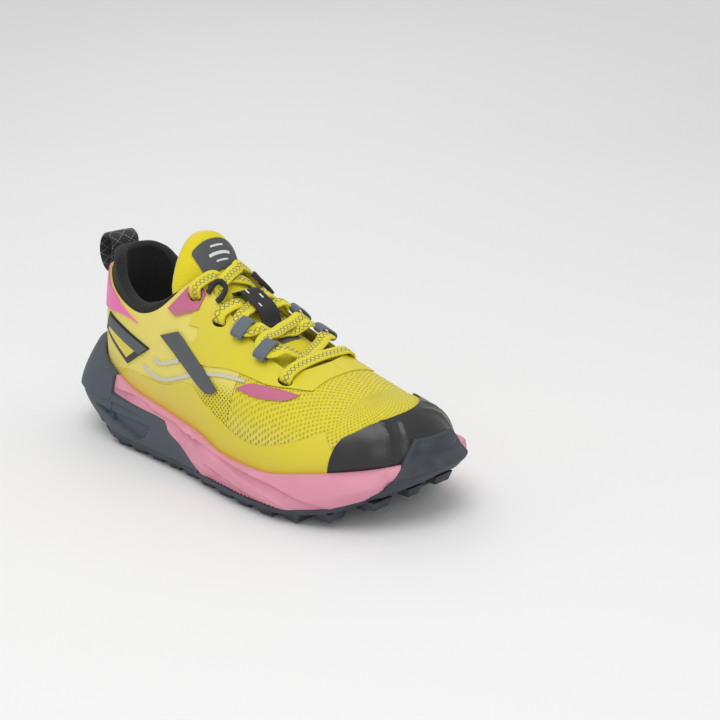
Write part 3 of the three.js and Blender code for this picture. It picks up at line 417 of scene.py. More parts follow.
def shell(w0, w1, t0, t1, outer, inner, cell=2.4):
    """A closed patch of one layer on one side, or round the heel, between two offsets."""
    lengths = [(upper_point(rib_round(w0 + (w1 - w0) * i / 20), max(t0, 0), 0)
                - upper_point(rib_round(w0 + (w1 - w0) * (i + 1) / 20), max(t0, 0),
                              0)).length for i in range(20)]
    nu = max(4, round(sum(lengths) / cell))
    middle = rib_round((w0 + w1) / 2)
    tall = (upper_point(middle, t0, 0) - upper_point(middle, min(t1, 0.999), 0)).length
    half = max(4, round(tall / cell))
    nv = 2 * half + 2

    def place(u, v):
        r = rib_round(w0 + (w1 - w0) * u)
        k = round(v * nv)
        if k == nv:
            k = 0
        if k <= half:
            return upper_point(r, t0 + (t1 - t0) * k / half, outer)
        return upper_point(r, t1 - (t1 - t0) * (k - half - 1) / half, inner)

    return as_object(grid_mesh(nu, nv, place), "shell")


def arch(w0, w1, t0, outer, inner, cell=2.4):
    """A closed layer that arches over the shoe from one side to the other, from rib w0 round to w1."""
    nu = max(8, round((w1 - w0) * 300 / cell))
    half = round(75 / cell)
    nv = 2 * half + 1

    def place(u, v):
        r = rib_round(w0 + (w1 - w0) * u)
        k = round(v * nv)
        if k <= half:
            return upper_point(r, 1 - (1 - t0) * k / half, outer)
        return upper_point(r, 1 - (1 - t0) * (nv - k) / half, inner)

    return as_object(grid_mesh(nu, nv, place), "arch")

# %% [markdown]
# ## Materials
# Every finish is a small node graph on a Principled shader. Image textures would tie the shoe to files,
# so weaves, holes and pebbled skins are worked out from the place on the piece: from its flow map where
# the pattern follows the cloth, and from object space where it is moulded.


# %% Material helpers
def srgb(red, green, blue):
    """A colour given as on screen, turned into the light values that shaders use."""
    return tuple(((c / 255 + 0.055) / 1.055) ** 2.4 if c > 10 else c / 255 / 12.92 for c in (red, green,
                                                                                             blue)) + (1,)


class Finish:
    """A material under construction, with its Principled shader."""

    def __init__(self, name, colour, roughness, **sockets):
        self.material = bpy.data.materials.new(name)
        self.material.use_nodes = True
        self.tree = self.material.node_tree
        self.shader = self.tree.nodes["Principled BSDF"]
        self.shader.inputs["Base Color"].default_value = colour
        self.shader.inputs["Roughness"].default_value = roughness
        for key, value in sockets.items():
            self.shader.inputs[key.replace("_", " ")].default_value = value

    def node(self, kind, links=(), **settings):
        made = self.tree.nodes.new("ShaderNode" + kind)
        for key, value in settings.items():
            if hasattr(made, key):
                setattr(made, key, value)
            else:
                made.inputs[key.replace("_", " ")].default_value = value
        for key, socket in dict(links).items():
            self.tree.links.new(socket, made.inputs[key])
        return made

    def flow(self, scale, turn=0.0):
        """Millimetres along and across the cloth, scaled and turned."""
        uv = self.node("UVMap", uv_map="flow")
        return self.node("Mapping", {"Vector": uv.outputs["UV"]}, Scale=scale,
                         Rotation=(0, 0, turn)).outputs[0]

    def space(self, scale, turn=(0, 0, 0)):
        place = self.node("TexCoord").outputs["Object"]
        return self.node("Mapping", {"Vector": place}, Scale=scale, Rotation=turn).outputs[0]

    def maths(self, operation, a, b=0.5, clamp=False):
        made = self.node("Math", operation=operation, use_clamp=clamp)
        for socket, value in zip(made.inputs, (a, b)):
            if isinstance(value, (int, float)):
                socket.default_value = value
            else:
                self.tree.links.new(value, socket)
        return made.outputs[0]

    def ramp(self, value, *stops):
        made = self.node("ValToRGB", {"Fac": value})
        while len(made.color_ramp.elements) < len(stops):
            made.color_ramp.elements.new(0.5)
        for element, (position, colour) in zip(made.color_ramp.elements, stops):
            element.position = position
            element.color = colour if isinstance(colour, tuple) else (colour, colour, colour, 1)
        return made.outputs["Color"]

    def mix(self, factor, a, b):
        made = self.node("Mix", data_type="RGBA")
        for socket, value in ((made.inputs[0], factor), (made.inputs[6], a), (made.inputs[7], b)):
            if isinstance(value, (tuple, int, float)):
                socket.default_value = value
            else:
                self.tree.links.new(value, socket)
        return made.outputs[2]

    def colour(self, socket):
        self.tree.links.new(socket, self.shader.inputs["Base Color"])

    def rough(self, value, low, high):
        wanted = self.node("MapRange", {"Value": value}, To_Min=low, To_Max=high)
        self.tree.links.new(wanted.outputs[0], self.shader.inputs["Roughness"])

    def bump(self, *heights, distance=0.0003):
        normal = None
        for height, strength in heights:
            made = self.node("Bump", {"Height": height}, Strength=strength, Distance=distance)
            if normal:
                self.tree.links.new(normal, made.inputs["Normal"])
            normal = made.outputs[0]
        self.tree.links.new(normal, self.shader.inputs["Normal"])

    def noise(self, place, scale, detail=3.0):
        return self.node("TexNoise", {"Vector": place}, Scale=scale, Detail=detail).outputs["Fac"]


YELLOW = srgb(214, 200, 34)
YELLOW_DEEP = srgb(205, 188, 22)
PINK = srgb(219, 148, 168)
HOT_PINK = srgb(232, 116, 178)
ROSE = srgb(190, 106, 134)
SLATE = srgb(70, 78, 87)
RUBBER = srgb(52, 58, 66)
BLACK = srgb(19, 19, 21)
SILVER = srgb(196, 196, 178)


# %% Moulded foam and rubber
def foam(name, colour, shade):
    """Moulded foam: a fine pebbled skin and slightly cloudy colour."""
    f = Finish(name, colour, 0.62)
    place = f.space((1, 1, 1))
    cloud = f.noise(place, 40)
    grain = f.noise(place, 2600, 2)
    f.colour(f.ramp(cloud, (0.3, shade), (0.7, colour)))
    f.rough(cloud, 0.55, 0.7)
    f.bump((grain, 0.22), (cloud, 0.1), distance=0.0002)
    return f.material


def rubber():
    """Blown rubber with a dusty, scuffed skin."""
    f = Finish("rubber", RUBBER, 0.6)
    place = f.space((1, 1, 1))
    scuff = f.noise(place, 120, 6)
    f.colour(f.ramp(scuff, (0.35, srgb(44, 49, 56)), (0.75, srgb(66, 73, 82))))
    f.rough(scuff, 0.45, 0.75)
    f.bump((f.noise(place, 1800, 2), 0.25), distance=0.0002)
    return f.material


# %% Woven, knitted and pierced cloth
def weave(name, colour, dark, pitch, depth=0.5, sheen=0.25, turn=0.0):
    """A plain weave: two sets of waves at right angles on the flow map."""
    f = Finish(name, colour, 0.85, Sheen_Weight=sheen, Sheen_Roughness=0.4)
    flow = f.flow((1 / pitch, 1 / pitch, 1), turn)
    waves = [f.node("TexWave", {"Vector": flow}, bands_direction=d, Scale=1 / 3.14159 * 1.0, Distortion=0.3)
             .outputs["Fac"] for d in ("X", "Y")]
    cross = f.maths("MULTIPLY", waves[0], waves[1])
    cloud = f.noise(f.space((1, 1, 1)), 60)
    f.colour(f.mix(f.maths("MULTIPLY", cross, 0.8), dark, f.ramp(cloud, (0.3, colour), (0.8, colour))))
    f.bump((cross, depth), (f.noise(flow, 2.5), 0.15), distance=0.0003)
    return f.material


def engineered_mesh(name, colour, low, window):
    """Knitted mesh with slanted rows of small holes; in the window the dark lining shows through them."""
    f = Finish(name, colour, 0.75, Sheen_Weight=0.15, Sheen_Roughness=0.5)
    flow = f.flow((0.5, 0.5, 1), 0.5)
    cells = f.node("TexVoronoi", {"Vector": flow}, feature="F1", Scale=1.0, Randomness=0.18)
    hole = f.maths("LESS_THAN", cells.outputs["Distance"], 0.3)
    soft = f.node("MapRange", {"Value": cells.outputs["Distance"]}, From_Min=0.12, From_Max=0.42).outputs[0]
    place = f.node("SeparateXYZ", {"Vector": f.node("TexCoord").outputs["Object"]})
    height = place.outputs["Z"]
    fade = f.node("MapRange", {"Value": height}, From_Min=low - 0.004, From_Max=low + 0.020).outputs[0]
    through = f.maths("MULTIPLY", hole, f.maths("SUBTRACT", 1.0, f.maths("MULTIPLY", fade, 0.55)))
    cloud = f.noise(f.space((1, 1, 1)), 30)
    base = f.mix(fade, window, f.ramp(cloud, (0.3, colour), (0.8, colour)))
    f.colour(f.mix(through, base, srgb(120, 106, 24)))
    f.bump((soft, 0.6), (f.noise(flow, 3), 0.1), distance=0.0004)
    return f.material


def side_cloth(name, colour, line, front):
    """The quarter's cloth: pale ripstop that runs into pierced bright mesh at its lower front."""
    f = Finish(name, colour, 0.7, Sheen_Weight=0.1)
    flow = f.flow((1 / 2.2, 1 / 2.2, 1), 0.0)
    cells = f.node("TexVoronoi", {"Vector": flow}, feature="DISTANCE_TO_EDGE", Scale=1.0, Randomness=0.0)
    thread = f.node("MapRange", {"Value": cells.outputs["Distance"]}, From_Min=0.04, From_Max=0.14,
                    To_Min=1, To_Max=0).outputs[0]
    place = f.node("SeparateXYZ", {"Vector": f.node("TexCoord").outputs["Object"]})
    x, z = place.outputs["X"], place.outputs["Z"]
    ahead = f.node("MapRange", {"Value": x}, From_Min=-0.010, From_Max=0.004).outputs[0]
    low = f.node("MapRange", {"Value": z}, From_Min=0.060, From_Max=0.052).outputs[0]
    window = f.maths("MULTIPLY", ahead, low)
    side_view = f.node("CombineXYZ",
                       {"X": f.maths("MULTIPLY", x, 470.0), "Y": f.maths("MULTIPLY", z, 560.0)})
    turned = f.node("Mapping", {"Vector": side_view.outputs[0]}, Rotation=(0, 0, 0.6))
    holes = f.node("TexVoronoi", {"Vector": turned.outputs[0]}, voronoi_dimensions="2D", feature="F1",
                   Scale=1.0,
                   Randomness=0.18)
    hole = f.maths("MULTIPLY", f.maths("LESS_THAN", holes.outputs["Distance"], 0.3), window)
    base = f.mix(f.maths("MULTIPLY", thread, 0.35), colour, line)
    f.colour(f.mix(hole, f.mix(window, base, front), srgb(128, 112, 26)))
    f.bump((thread, 0.25), (f.noise(f.flow((3, 3, 1)), 1.0, 2), 0.2), distance=0.0002)
    return f.material


def film(name, colour, roughness=0.42, grain=0.15, dark=None):
    """A welded film: smooth, with a fine pressed grain and a little cloud in the colour."""
    f = Finish(name, colour, roughness, Coat_Weight=0.1, Coat_Roughness=0.3)
    place = f.space((1, 1, 1))
    cloud = f.noise(place, 45)
    if dark:
        f.colour(f.ramp(cloud, (0.3, dark), (0.7, colour)))
    f.rough(cloud, roughness - 0.06, roughness + 0.08)
    f.bump((f.noise(place, 1500, 2), grain), (cloud, 0.05), distance=0.0002)
    return f.material


def graded_film():
    """The bright film, paler towards the back of the shoe and deeper at its lower front."""
    f = Finish("yellow_film", YELLOW, 0.42, Coat_Weight=0.1, Coat_Roughness=0.3)
    place = f.node("SeparateXYZ", {"Vector": f.node("TexCoord").outputs["Object"]})
    along = f.node("MapRange", {"Value": place.outputs["X"]}, From_Min=-0.06, From_Max=0.02).outputs[0]
    low = f.node("MapRange", {"Value": place.outputs["Z"]}, From_Min=0.062, From_Max=0.03).outputs[0]
    tone = f.mix(along, srgb(214, 196, 84), YELLOW)
    f.colour(f.mix(f.maths("MULTIPLY", low, 0.35), tone, srgb(206, 186, 60)))
    f.bump((f.noise(f.space((1, 1, 1)), 1500, 2), 0.15), distance=0.0002)
    return f.material


def knit(name, colour, light, pitch):
    """Ribbed collar knit: narrow ribs with a small stitch along each."""
    f = Finish(name, colour, 0.9, Sheen_Weight=0.06, Sheen_Roughness=0.5)
    flow = f.flow((1 / pitch, 1 / pitch, 1), 0.0)
    ribs = f.node("TexWave", {"Vector": flow}, bands_direction="X", Scale=0.32,
                  Distortion=0.6).outputs["Fac"]
    stitch = f.node("TexVoronoi", {"Vector": flow}, feature="F1", Scale=1.5,
                    Randomness=0.4).outputs["Distance"]
    f.colour(f.mix(f.maths("MULTIPLY", ribs, stitch), colour, light))
    f.bump((ribs, 0.5), (stitch, 0.35), distance=0.0005)
    return f.material


# %% Lace and webbing
def fleck_weave(name, colour, fleck, ribs, repeat, amount):
    """A flat woven tape: fine ribs along its edges and a dark fleck that zigzags down the middle."""
    f = Finish(name, colour, 0.8, Sheen_Weight=0.25, Sheen_Roughness=0.4)
    flow = f.node("SeparateXYZ", {"Vector": f.node("UVMap", uv_map="flow").outputs["UV"]})
    along, across = flow.outputs["X"], flow.outputs["Y"]
    phase = f.maths("MULTIPLY", along, 1 / repeat)
    swing = f.maths("ABSOLUTE", f.maths("SUBTRACT", f.maths("FRACT", phase), 0.5))
    centred = f.maths("ABSOLUTE",
                      f.maths("SUBTRACT", f.maths("FRACT", f.maths("MULTIPLY", across, ribs)), 0.5))
    near = f.maths("ABSOLUTE", f.maths("SUBTRACT", centred, swing))
    dash = f.maths("LESS_THAN", f.maths("FRACT", f.maths("MULTIPLY", along, 1.1)), 0.62)
    mark = f.maths("MULTIPLY", f.maths("LESS_THAN", near, amount), dash)
    rib = f.node("TexWave", {"Vector": f.flow((1, 1, 1))}, bands_direction="X", Scale=0.45).outputs["Fac"]
    f.colour(f.mix(mark, f.mix(f.maths("MULTIPLY", rib, 0.35), colour, f.mix(0.5, colour, fleck)), fleck))
    f.bump((rib, 0.45), (f.noise(f.flow((1, 1, 1)), 4), 0.2), distance=0.0003)
    return f.material


def lace_weave(name, colour, fleck, width, repeat):
    """The lace: a close-ribbed yellow tape with a zigzag of darker yarn along the middle of each face."""
    f = Finish(name, colour, 0.8, Sheen_Weight=0.15, Sheen_Roughness=0.4)
    flow = f.node("SeparateXYZ", {"Vector": f.node("UVMap", uv_map="flow").outputs["UV"]})
    along, across = flow.outputs["X"], flow.outputs["Y"]
    face = f.maths("ABSOLUTE", f.maths("SUBTRACT", f.maths("FRACT", f.maths("DIVIDE", across, width)), 0.5))
    swing = f.maths("ABSOLUTE",
                    f.maths("SUBTRACT", f.maths("FRACT", f.maths("DIVIDE", along, repeat)), 0.5))
    near = f.maths("ABSOLUTE", f.maths("SUBTRACT", face, f.maths("MULTIPLY", swing, 0.5)))
    band = f.maths("LESS_THAN", face, 0.24)
    mark = f.maths("MULTIPLY", f.maths("LESS_THAN", near, 0.055), band)
    rib = f.maths("ABSOLUTE", f.maths("SUBTRACT", f.maths("FRACT", f.maths("MULTIPLY", along, 0.9)), 0.5))
    ribbed = f.mix(f.maths("MULTIPLY", rib, 0.5), colour, srgb(176, 164, 30))
    f.colour(f.mix(mark, ribbed, fleck))
    f.bump((rib, 0.5), (mark, 0.3), distance=0.0004)
    return f.material


MESH = engineered_mesh("yellow_mesh", YELLOW, 0.028, srgb(214, 200, 110))
TONGUE_MESH = weave("tongue_mesh", YELLOW, YELLOW_DEEP, 1.1, 0.3)
PALE_MESH = side_cloth("pale_mesh", srgb(224, 209, 98), srgb(236, 224, 136), YELLOW)
PAD = weave("yellow_pad", srgb(232, 218, 34), srgb(214, 198, 24), 0.9, 0.2)
COLLAR_KNIT = knit("black_knit", BLACK, srgb(38, 38, 40), 1.3)
LACE_YARN = lace_weave("lace_yarn", srgb(224, 211, 46), srgb(120, 118, 82), 7.2, 3.0)
BLACK_WEB = fleck_weave("black_webbing", BLACK, srgb(122, 124, 128), 1 / 10, 6.0, 0.05)
GREY_WEB = weave("grey_webbing", srgb(142, 151, 160), srgb(84, 92, 102), 1.1, 0.7)
CORD_WEAVE = weave("black_cord", BLACK, srgb(44, 44, 46), 1.0, 0.7, 0.05)
KEEPER_WEB = weave("keeper_strap", BLACK, srgb(40, 40, 42), 0.9, 0.5, 0.05)
YELLOW_FILM = graded_film()
BADGE_FILM = film("badge_film", srgb(222, 206, 70), 0.45, dark=srgb(214, 196, 60))
PINK_FILM = film("pink_film", HOT_PINK, 0.42, dark=srgb(226, 104, 168))
ROSE_FILM = film("rose_film", ROSE, 0.45, dark=srgb(190, 96, 130))
CHARCOAL = film("grey_print", srgb(78, 82, 84), 0.55, 0.3)
INK = film("badge_ink", srgb(38, 40, 42), 0.5)
SILVER_FILM = film("silver_print", SILVER, 0.4)
GLOSS = film("black_gloss", srgb(32, 32, 34), 0.3, 0.25)
PINK_FOAM = foam("pink_foam", PINK, srgb(211, 139, 160))
SLATE_FOAM = foam("slate_foam", SLATE, srgb(66, 76, 86))
RUBBER_SKIN = rubber()
FELT = weave("white_felt", srgb(214, 210, 200), srgb(190, 186, 176), 1.6, 0.3)
INSOLE_CLOTH = weave("insole_cloth", srgb(40, 43, 48), srgb(26, 28, 32), 1.2, 0.4)
CLEAR = film("clear_plastic", srgb(214, 212, 200), 0.2)
print(len(bpy.data.materials), "materials")

# %% [markdown]
# ## The sole
# The slate carrier cups the heel and runs out under the arch, the pink foam carries on to the toe, and
# the rubber wraps up round the toe. Each is a ring or a horseshoe of ribs with a chain of points from the
# middle outwards, up the side wall and back inside, and the moulded lines on the wall push the chain out
# or in.

# %% What is moulded into the side wall
FOAM_BACK, CARRIER_FRONT = 46, 130
CREASE = profile([(46, 36), (67, 37), (88, 33), (108, 31), (120, 27.5), (125, 25.5), (132, 27), (149, 24),
                  (174, 22.5), (197, 19), (217, 14.5), (236, 9)])
GROOVE = profile([(140, 21), (150, 20.5), (167, 18), (189, 14.5), (210, 9)])
PANEL_TOP = profile([(134, 15.5), (143, 15), (165, 12.5), (186, 9.4), (200, 7.8)])
POCKET_LOW = profile([(28, 21), (42, 17), (58, 12.5), (68, 9.6), (76, 12), (84, 20)])
CARRIER_LINE = profile([(10, 26), (32, 28), (57, 28), (76, 26), (96, 27)])


def smooth_step(low, high, value):
    t = min(1.0, max(0.0, (value - low) / (high - low)))
    return t * t * (3 - 2 * t)


def foam_relief(x, z, rim):
    """How far the pink wall stands out from its plain shape."""
    crease = CREASE(x)
    above = z - crease
    back = 1 - smooth_step(180, 192, x)
    slope = 3.2 * max(0.0,
                      1 - above / max(2.0, rim - crease)) if above >= 0 else 3.2 * math.exp(above / 0.9)
    band = 2.0 * smooth_step(-0.5, 0.3, above) * (1 - back)
    notch = 2.4 * math.exp(-(((x - 124) / 4.5) ** 2)) * math.exp(-((above / 3.5) ** 2))
    relief = slope * back * smooth_step(44, 60, x) + band - notch - 0.8
    if 138 < x < 212:
        depth = smooth_step(138, 146, x) * (1 - smooth_step(200, 212, x))
        below = z - GROOVE(x)
        relief += depth * (1.8 * smooth_step(0.3, -0.5, below) * math.exp(min(0, below) / 6) - 0.6)
    if 138 < x < 202 and z < PANEL_TOP(x):
        relief -= 0.7 + 0.7 * math.cos(2 * math.pi * x / 3.0)
    return relief


def carrier_relief(x, z):
    """The slate wall: a raised upper band and a long recessed pocket."""
    raised = 1.6 * smooth_step(-0.8, 0.4, z - CARRIER_LINE(x)) * (1 - smooth_step(60, 96, x))
    inside = smooth_step(0, 0.9, z - POCKET_LOW(x)) * smooth_step(0, 0.7, 22 - z)
    ends = smooth_step(26, 32, x) * (1 - smooth_step(80, 84, x))
    return raised - 2.6 * inside * ends - 0.3


def sheet_top(r):
    return GROUND(r.at) + LUG + SHEET


def wrap_top(r):
    return max(WRAP_TOP(r.x + r.ex * r.sole), sheet_top(r) + 0.9)


def under_line(r, height, out_most, shares=(0, 0.3, 0.6, 0.85)):
    """Points under the sole, from the middle outwards, at a height over the ground curve."""
    return [r.point(out_most * s, GROUND(r.x + r.ex * out_most * s) + height) for s in shares]


WALL_STEPS = 34


def rising(low, high, steps=WALL_STEPS):
    return [low + (high - low) * i / steps for i in range(steps + 1)]


def foam_chain(r):
    """The pink foam's section, from the middle outwards, up the wall and down into the cup."""
    behind = r.x < CARRIER_FRONT + 2 and r.ex == 0
    low = max(sheet_top(r), CARRIER_TOP(r.at) if behind else 0) + 0.1
    lip = wrap_top(r)
    under = under_line(r, LUG + SHEET + 0.9, r.sole - 8)
    if behind:
        under = [Vector((p.x, p.y, low)) for p in under]
    wall = []
    covered = smooth_step(r.rim - 11, r.rim - 7, lip)  # the rubber climbs nearly the whole wall
    for z in rising(low, r.rim - 0.6):
        under_rubber = r.at > 200 and z < lip - 0.3
        back = WRAP + 0.3 if under_rubber else (WRAP + 0.3) * covered
        out = wall_out(r, z) - back
        wall.append(r.point(out + (0 if under_rubber else foam_relief(r.at, z, r.rim) * (1 - covered)), z))
    cup = r.foot + 0.6
    edge = max(wall_out(r, r.rim) - 1.0 - (WRAP + 0.3) * covered, cup + 1.0)
    top = [r.point(edge, r.rim), r.point(cup + 0.8, r.rim - 0.1), r.point(cup, r.rim - 0.8)]
    return under + wall + top + [r.point(cup, r.bed - 0.4), r.point(0, BED(r.x) - 0.4)]


def carrier_chain(r):
    """The slate carrier's section: a cup round the heel, a wedge under the foam further on."""
    low = sheet_top(r) + 0.1
    cup = r.at < FOAM_BACK
    top = r.rim if cup else CARRIER_TOP(r.at) - 0.05
    wall = [r.point(wall_out(r, z) + carrier_relief(r.at, z), z) for z in rising(low, top - 0.7)]
    edge = wall_out(r, top)
    if cup:
        inner = r.foot + 0.6
        top_points = [r.point(edge - 1.2, top), r.point(inner + 0.8, top - 0.1), r.point(inner, top - 0.8),
                      r.point(inner, r.bed - 0.4), r.point(0, BED(r.x) - 0.4)]
    else:
        top_points = [r.point(edge - 0.8, top), r.point(edge - 3, top), r.point(edge - 6, top),
                      r.point(edge - 12, top),
                      r.point(0, CARRIER_TOP(r.x) if r.x >= FOAM_BACK else BED(r.x) - 0.4)]
    return under_line(r, LUG + SHEET + 0.9, r.sole - 8) + wall + top_points


def horseshoe(name, chain, w0, w1, nu):
    """Ribs from w0 round to w1, each a chain of points from the middle and back to it."""
    points = [chain(rib_round(w0 + (w1 - w0) * i / nu)) for i in range(nu + 1)]
    nv = len(points[0]) - 1
    bm = grid_mesh(nu, nv, lambda u, v: points[round(u * nu)][round(v * nv)])
    return as_object(bm, name)


w_back = around(FOAM_BACK, -1)
w_front = around(CARRIER_FRONT, -1)
finish_piece(horseshoe("foam", foam_chain, w_back, 2 - w_back, 300), "pink_midsole", PINK_FOAM, "pink_foam",
             "midsole_foam", angle=50)
finish_piece(horseshoe("carrier", carrier_chain, -w_front, w_front, 240), "slate_carrier", SLATE_FOAM,
             "slate_foam", "heel_carrier", angle=50)

# %% [markdown]
# ## Outsole
# One rubber sheet under the whole shoe, turned up over the foam at the toe, with tapered lugs on it. The
# lugs are cubes, drawn in at the foot and softened at their edges, in the same rows as the design's.

# %% Outsole sheet and lugs
LUG_PITCH, FIRST_LUG, LAST_LUG = 17, 16, 244


def rubber_out(r, z):
    """The wall the rubber follows: the sole's, then leaning in to lie on the toe cap above the rim."""
    lean = smooth_step(r.rim - 6, r.rim + 3, z)
    on_cap = upper_out(r, max(z, r.rim), 1.3 + WRAP)
    return wall_out(r, z) * (1 - lean) + min(wall_out(r, z), on_cap) * lean


def outsole_chain(r):
    bottom, top, lip = GROUND(r.at) + LUG, sheet_top(r), wrap_top(r)
    ridges = 0.35 * smooth_step(226, 240, r.at)
    outer = [r.point(rubber_out(r, z) + ridges * math.sin(z * 1.1), z) for z in rising(bottom, lip - 0.5,
                                                                                       24)]
    inner = [r.point(rubber_out(r, z) - WRAP, z) for z in rising(lip, top, 10)]
    lip_point = r.point(rubber_out(r, lip) - 0.5, lip)
    return (under_line(r, LUG, r.sole - 8) + outer + [lip_point] + inner
            + under_line(r, LUG + SHEET, r.sole - 8)[::-1])


def sole_edge(x, side):
    """How far out the sheet's lower edge lies beside x."""
    if SPINE_HEEL <= x <= SPINE_TOE:
        r = Rib(x, 0, side)
        return wall_out(r, GROUND(x) + LUG)
    end = range(0, 11) if x < SPINE_HEEL else range(90, 101)
    ribs = [rib_round(i / 10 * HEEL_SHARE if x < SPINE_HEEL else 1 - (100 - i) / 10 * TOE_SHARE)
            for i in end]
    places = sorted((r.point(wall_out(r, GROUND(r.at) + LUG), 0)[:2] for r in ribs))
    return float(np.interp(x, [p[0] for p in places], [abs(p[1]) for p in places]))


def lug(bm, x, y, long, wide):
    """A block under the sheet: wider at its root than at its foot, with softened edges."""
    made = bmesh.ops.create_cube(bm, size=1)["verts"]
    foot, root = GROUND(x), GROUND(x) + LUG + 0.6
    for v in made:
        grow = 3.2 if v.co.z > 0 else 0
        v.co = Vector((x + v.co.x * (long + grow), y + v.co.y * (wide + grow),
                       root if v.co.z > 0 else foot))
    faces = {f for v in made for f in v.link_faces}
    for face in faces:
        face.normal_update()
    edges = [e for e in {e for f in faces for e in f.edges} if min(v.co.z for v in e.verts) < root - 1]
    bmesh.ops.bevel(bm, geom=edges, offset=0.5, segments=2, profile=0.5, affect="EDGES", material=-1)


sheet_object = horseshoe("sheet", outsole_chain, 0, 2, 300)
bm = bmesh.new()
bm.from_mesh(sheet_object.data)
lug_count = int((LAST_LUG - FIRST_LUG) / LUG_PITCH)
for i in range(lug_count + 1):
    x = FIRST_LUG + i * LUG_PITCH
    for side in (-1, 1):
        edge = sole_edge(x, side) - 1.2
        lug(bm, x, side * (edge - 7.5), LUG_PITCH * 0.52, 11)
        if edge > 33:
            lug(bm, x + LUG_PITCH / 2, side * (edge - 25), LUG_PITCH * 0.42, 9)
    if i % 2:
        lug(bm, x, 0, LUG_PITCH * 0.6, 8)
bm.to_mesh(sheet_object.data)
bm.free()
finish_piece(sheet_object, "rubber_outsole", RUBBER_SKIN, "rubber", "outsole", angle=45)

# %% [markdown]
# ## Inside the shoe
# The board and the hidden stiffeners keep the design's own shape, with a better finish; the sock liner is
# made again over the board.

# %% Finish on the design's own pieces
def keep_node(name, material):
    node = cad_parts[name]
    node.data.materials.clear()
    node.data.materials.append(material)


for name in ("strobel_board", "heel_counter", "toe_puff"):
    keep_node(name, FELT)
for side_name in ("lateral", "medial"):
    keep_node(f"aglet_{side_name}", CLEAR)

SIDES = (("lateral", -1), ("medial", 1))


def insole_chain(r):
    """The sock liner: it follows the board and dishes up a little at its edge."""
    out = r.foot - 3.6
    low, high = r.bed + 2.1, r.bed + 5.1
    shares = (0, 0.3, 0.6, 0.85)
    bottom = [r.point(out * s, BED(r.x + r.ex * out * s) + 2.1) for s in shares]
    top = [r.point(out * s, BED(r.x + r.ex * out * s) + 5.1 + 0.5 * s) for s in shares]
    return bottom + [r.point(out, low), r.point(out, high - 0.4),
                     r.point(out - 0.6, high + 0.4)] + top[::-1]


finish_piece(horseshoe("liner", insole_chain, 0, 2, 160), "sock_liner", INSOLE_CLOTH, "insole_foam",
             "insole")

# %% [markdown]
# ## The upper's pattern pieces
# On a bench each piece is a flat cut of mesh or film, pulled over the last. Here a patch of the right
# layer is grown a little past the piece and then cut by its outline, so its edge is crisp and its face
# keeps the last's curve. The outlines are drawn in the side view, or in plan where a piece wraps over the
# toe or the throat.

# %% Outlines
COLLAR = [(-20, 102), (12, 102), (22, 99), (31, 93), (41, 87.5), (52, 83.5), (62, 82), (71, 83.5),
          (80, 87.5),
          (88, 94), (94, 100.5), (99, 105), (107, 106)]
THROAT = [(97, -16.5), (109, -18), (120, -19.5), (132, -20.5), (146, -22.5), (161, -24), (174, -24),
          (180, -21),
          (183, -13), (184, -3), (183, 6), (180, 13), (174, 17), (161, 19), (146, 19), (132, 18.5),
          (120, 18),
          (109, 17), (97, 16)]
RAND = [(44, 20), (44, 46), (56, 47.5), (70, 47), (90, 46.5), (108, 52), (118, 51.6), (130, 45), (151, 38),
        (170, 35), (185, 37), (202, 42.5), (214, 48), (219, 42), (232, 30), (234, 20)]
EYESTAY = [(101.5, 130), (101.5, 97), (106, 90), (106, 83), (113, 83), (113, 76), (108, 73), (104, 68),
           (112, 65.5), (125, 65), (140, 66.5), (156, 65.5), (170, 63.6), (184, 63.4), (194, 63), (194, 80),
           (180, 130)]
HEEL_PATCH = [(-20, 76), (43, 79), (63, 76.5), (50, 82), (41, 87), (31, 92.6), (22, 98.6), (12, 101.6),
              (-20, 101.6)]
BADGE = [(26, 66), (32, 77), (75, 64), (54, 51)]
BADGE_INSET = [(31.5, 66.2), (34.5, 73), (67, 63.4), (53.4, 54.6)]
BADGE_BAND = [(30.5, 69.5), (33.5, 75.6), (73.6, 63.8), (66.5, 59)]
EYELET_PATCH = [(88.5, 89.5), (95, 97), (99, 103), (104, 103.5), (109.5, 99), (109.5, 91.5), (95, 86.5)]
FLASH = [(151.5, 58.5), (160, 62.3), (176, 62.3), (190, 60.8), (184, 58.2), (168, 57.2)]
SLASH = [(85, 74), (99, 78.5), (139, 54.5), (126, 52.5)]
PIPING_UPPER = [(103, 62), (86, 57), (79, 58.6), (79, 60.6), (87, 59.2), (102, 64.2)]
PIPING_LOWER = [(70, 54.6), (79, 51), (92, 51), (115, 59), (136, 63.4), (156, 63.6), (156, 62.2),
                (136, 61.6),
                (115, 56.8), (92, 48.8), (78, 48.8), (69, 52.8)]
TOE_CAP = [(217, -60), (222, -37), (229, -27), (236, -14), (239, 0), (236, 11), (227, 22), (214, 32),
           (204, 60),
           (280, 60), (280, -60)]
SEAM = 150  # where the quarters meet the vamp
LACE_WIDTH, LACE_THICK = 6.4, 1.6
ROWS = [(178, -28.5, 21.5), (160, -25, 20.5), (141, -23.5, 20), (124, -25, 23), (115, -19, 17.5),
        (104, -24, 22.5)]  # x, then y on the outer and on the inner side
PUNCHED = (0, 3, 5)


def row_y(i, side):
    return ROWS[i][1] if side < 0 else ROWS[i][2]


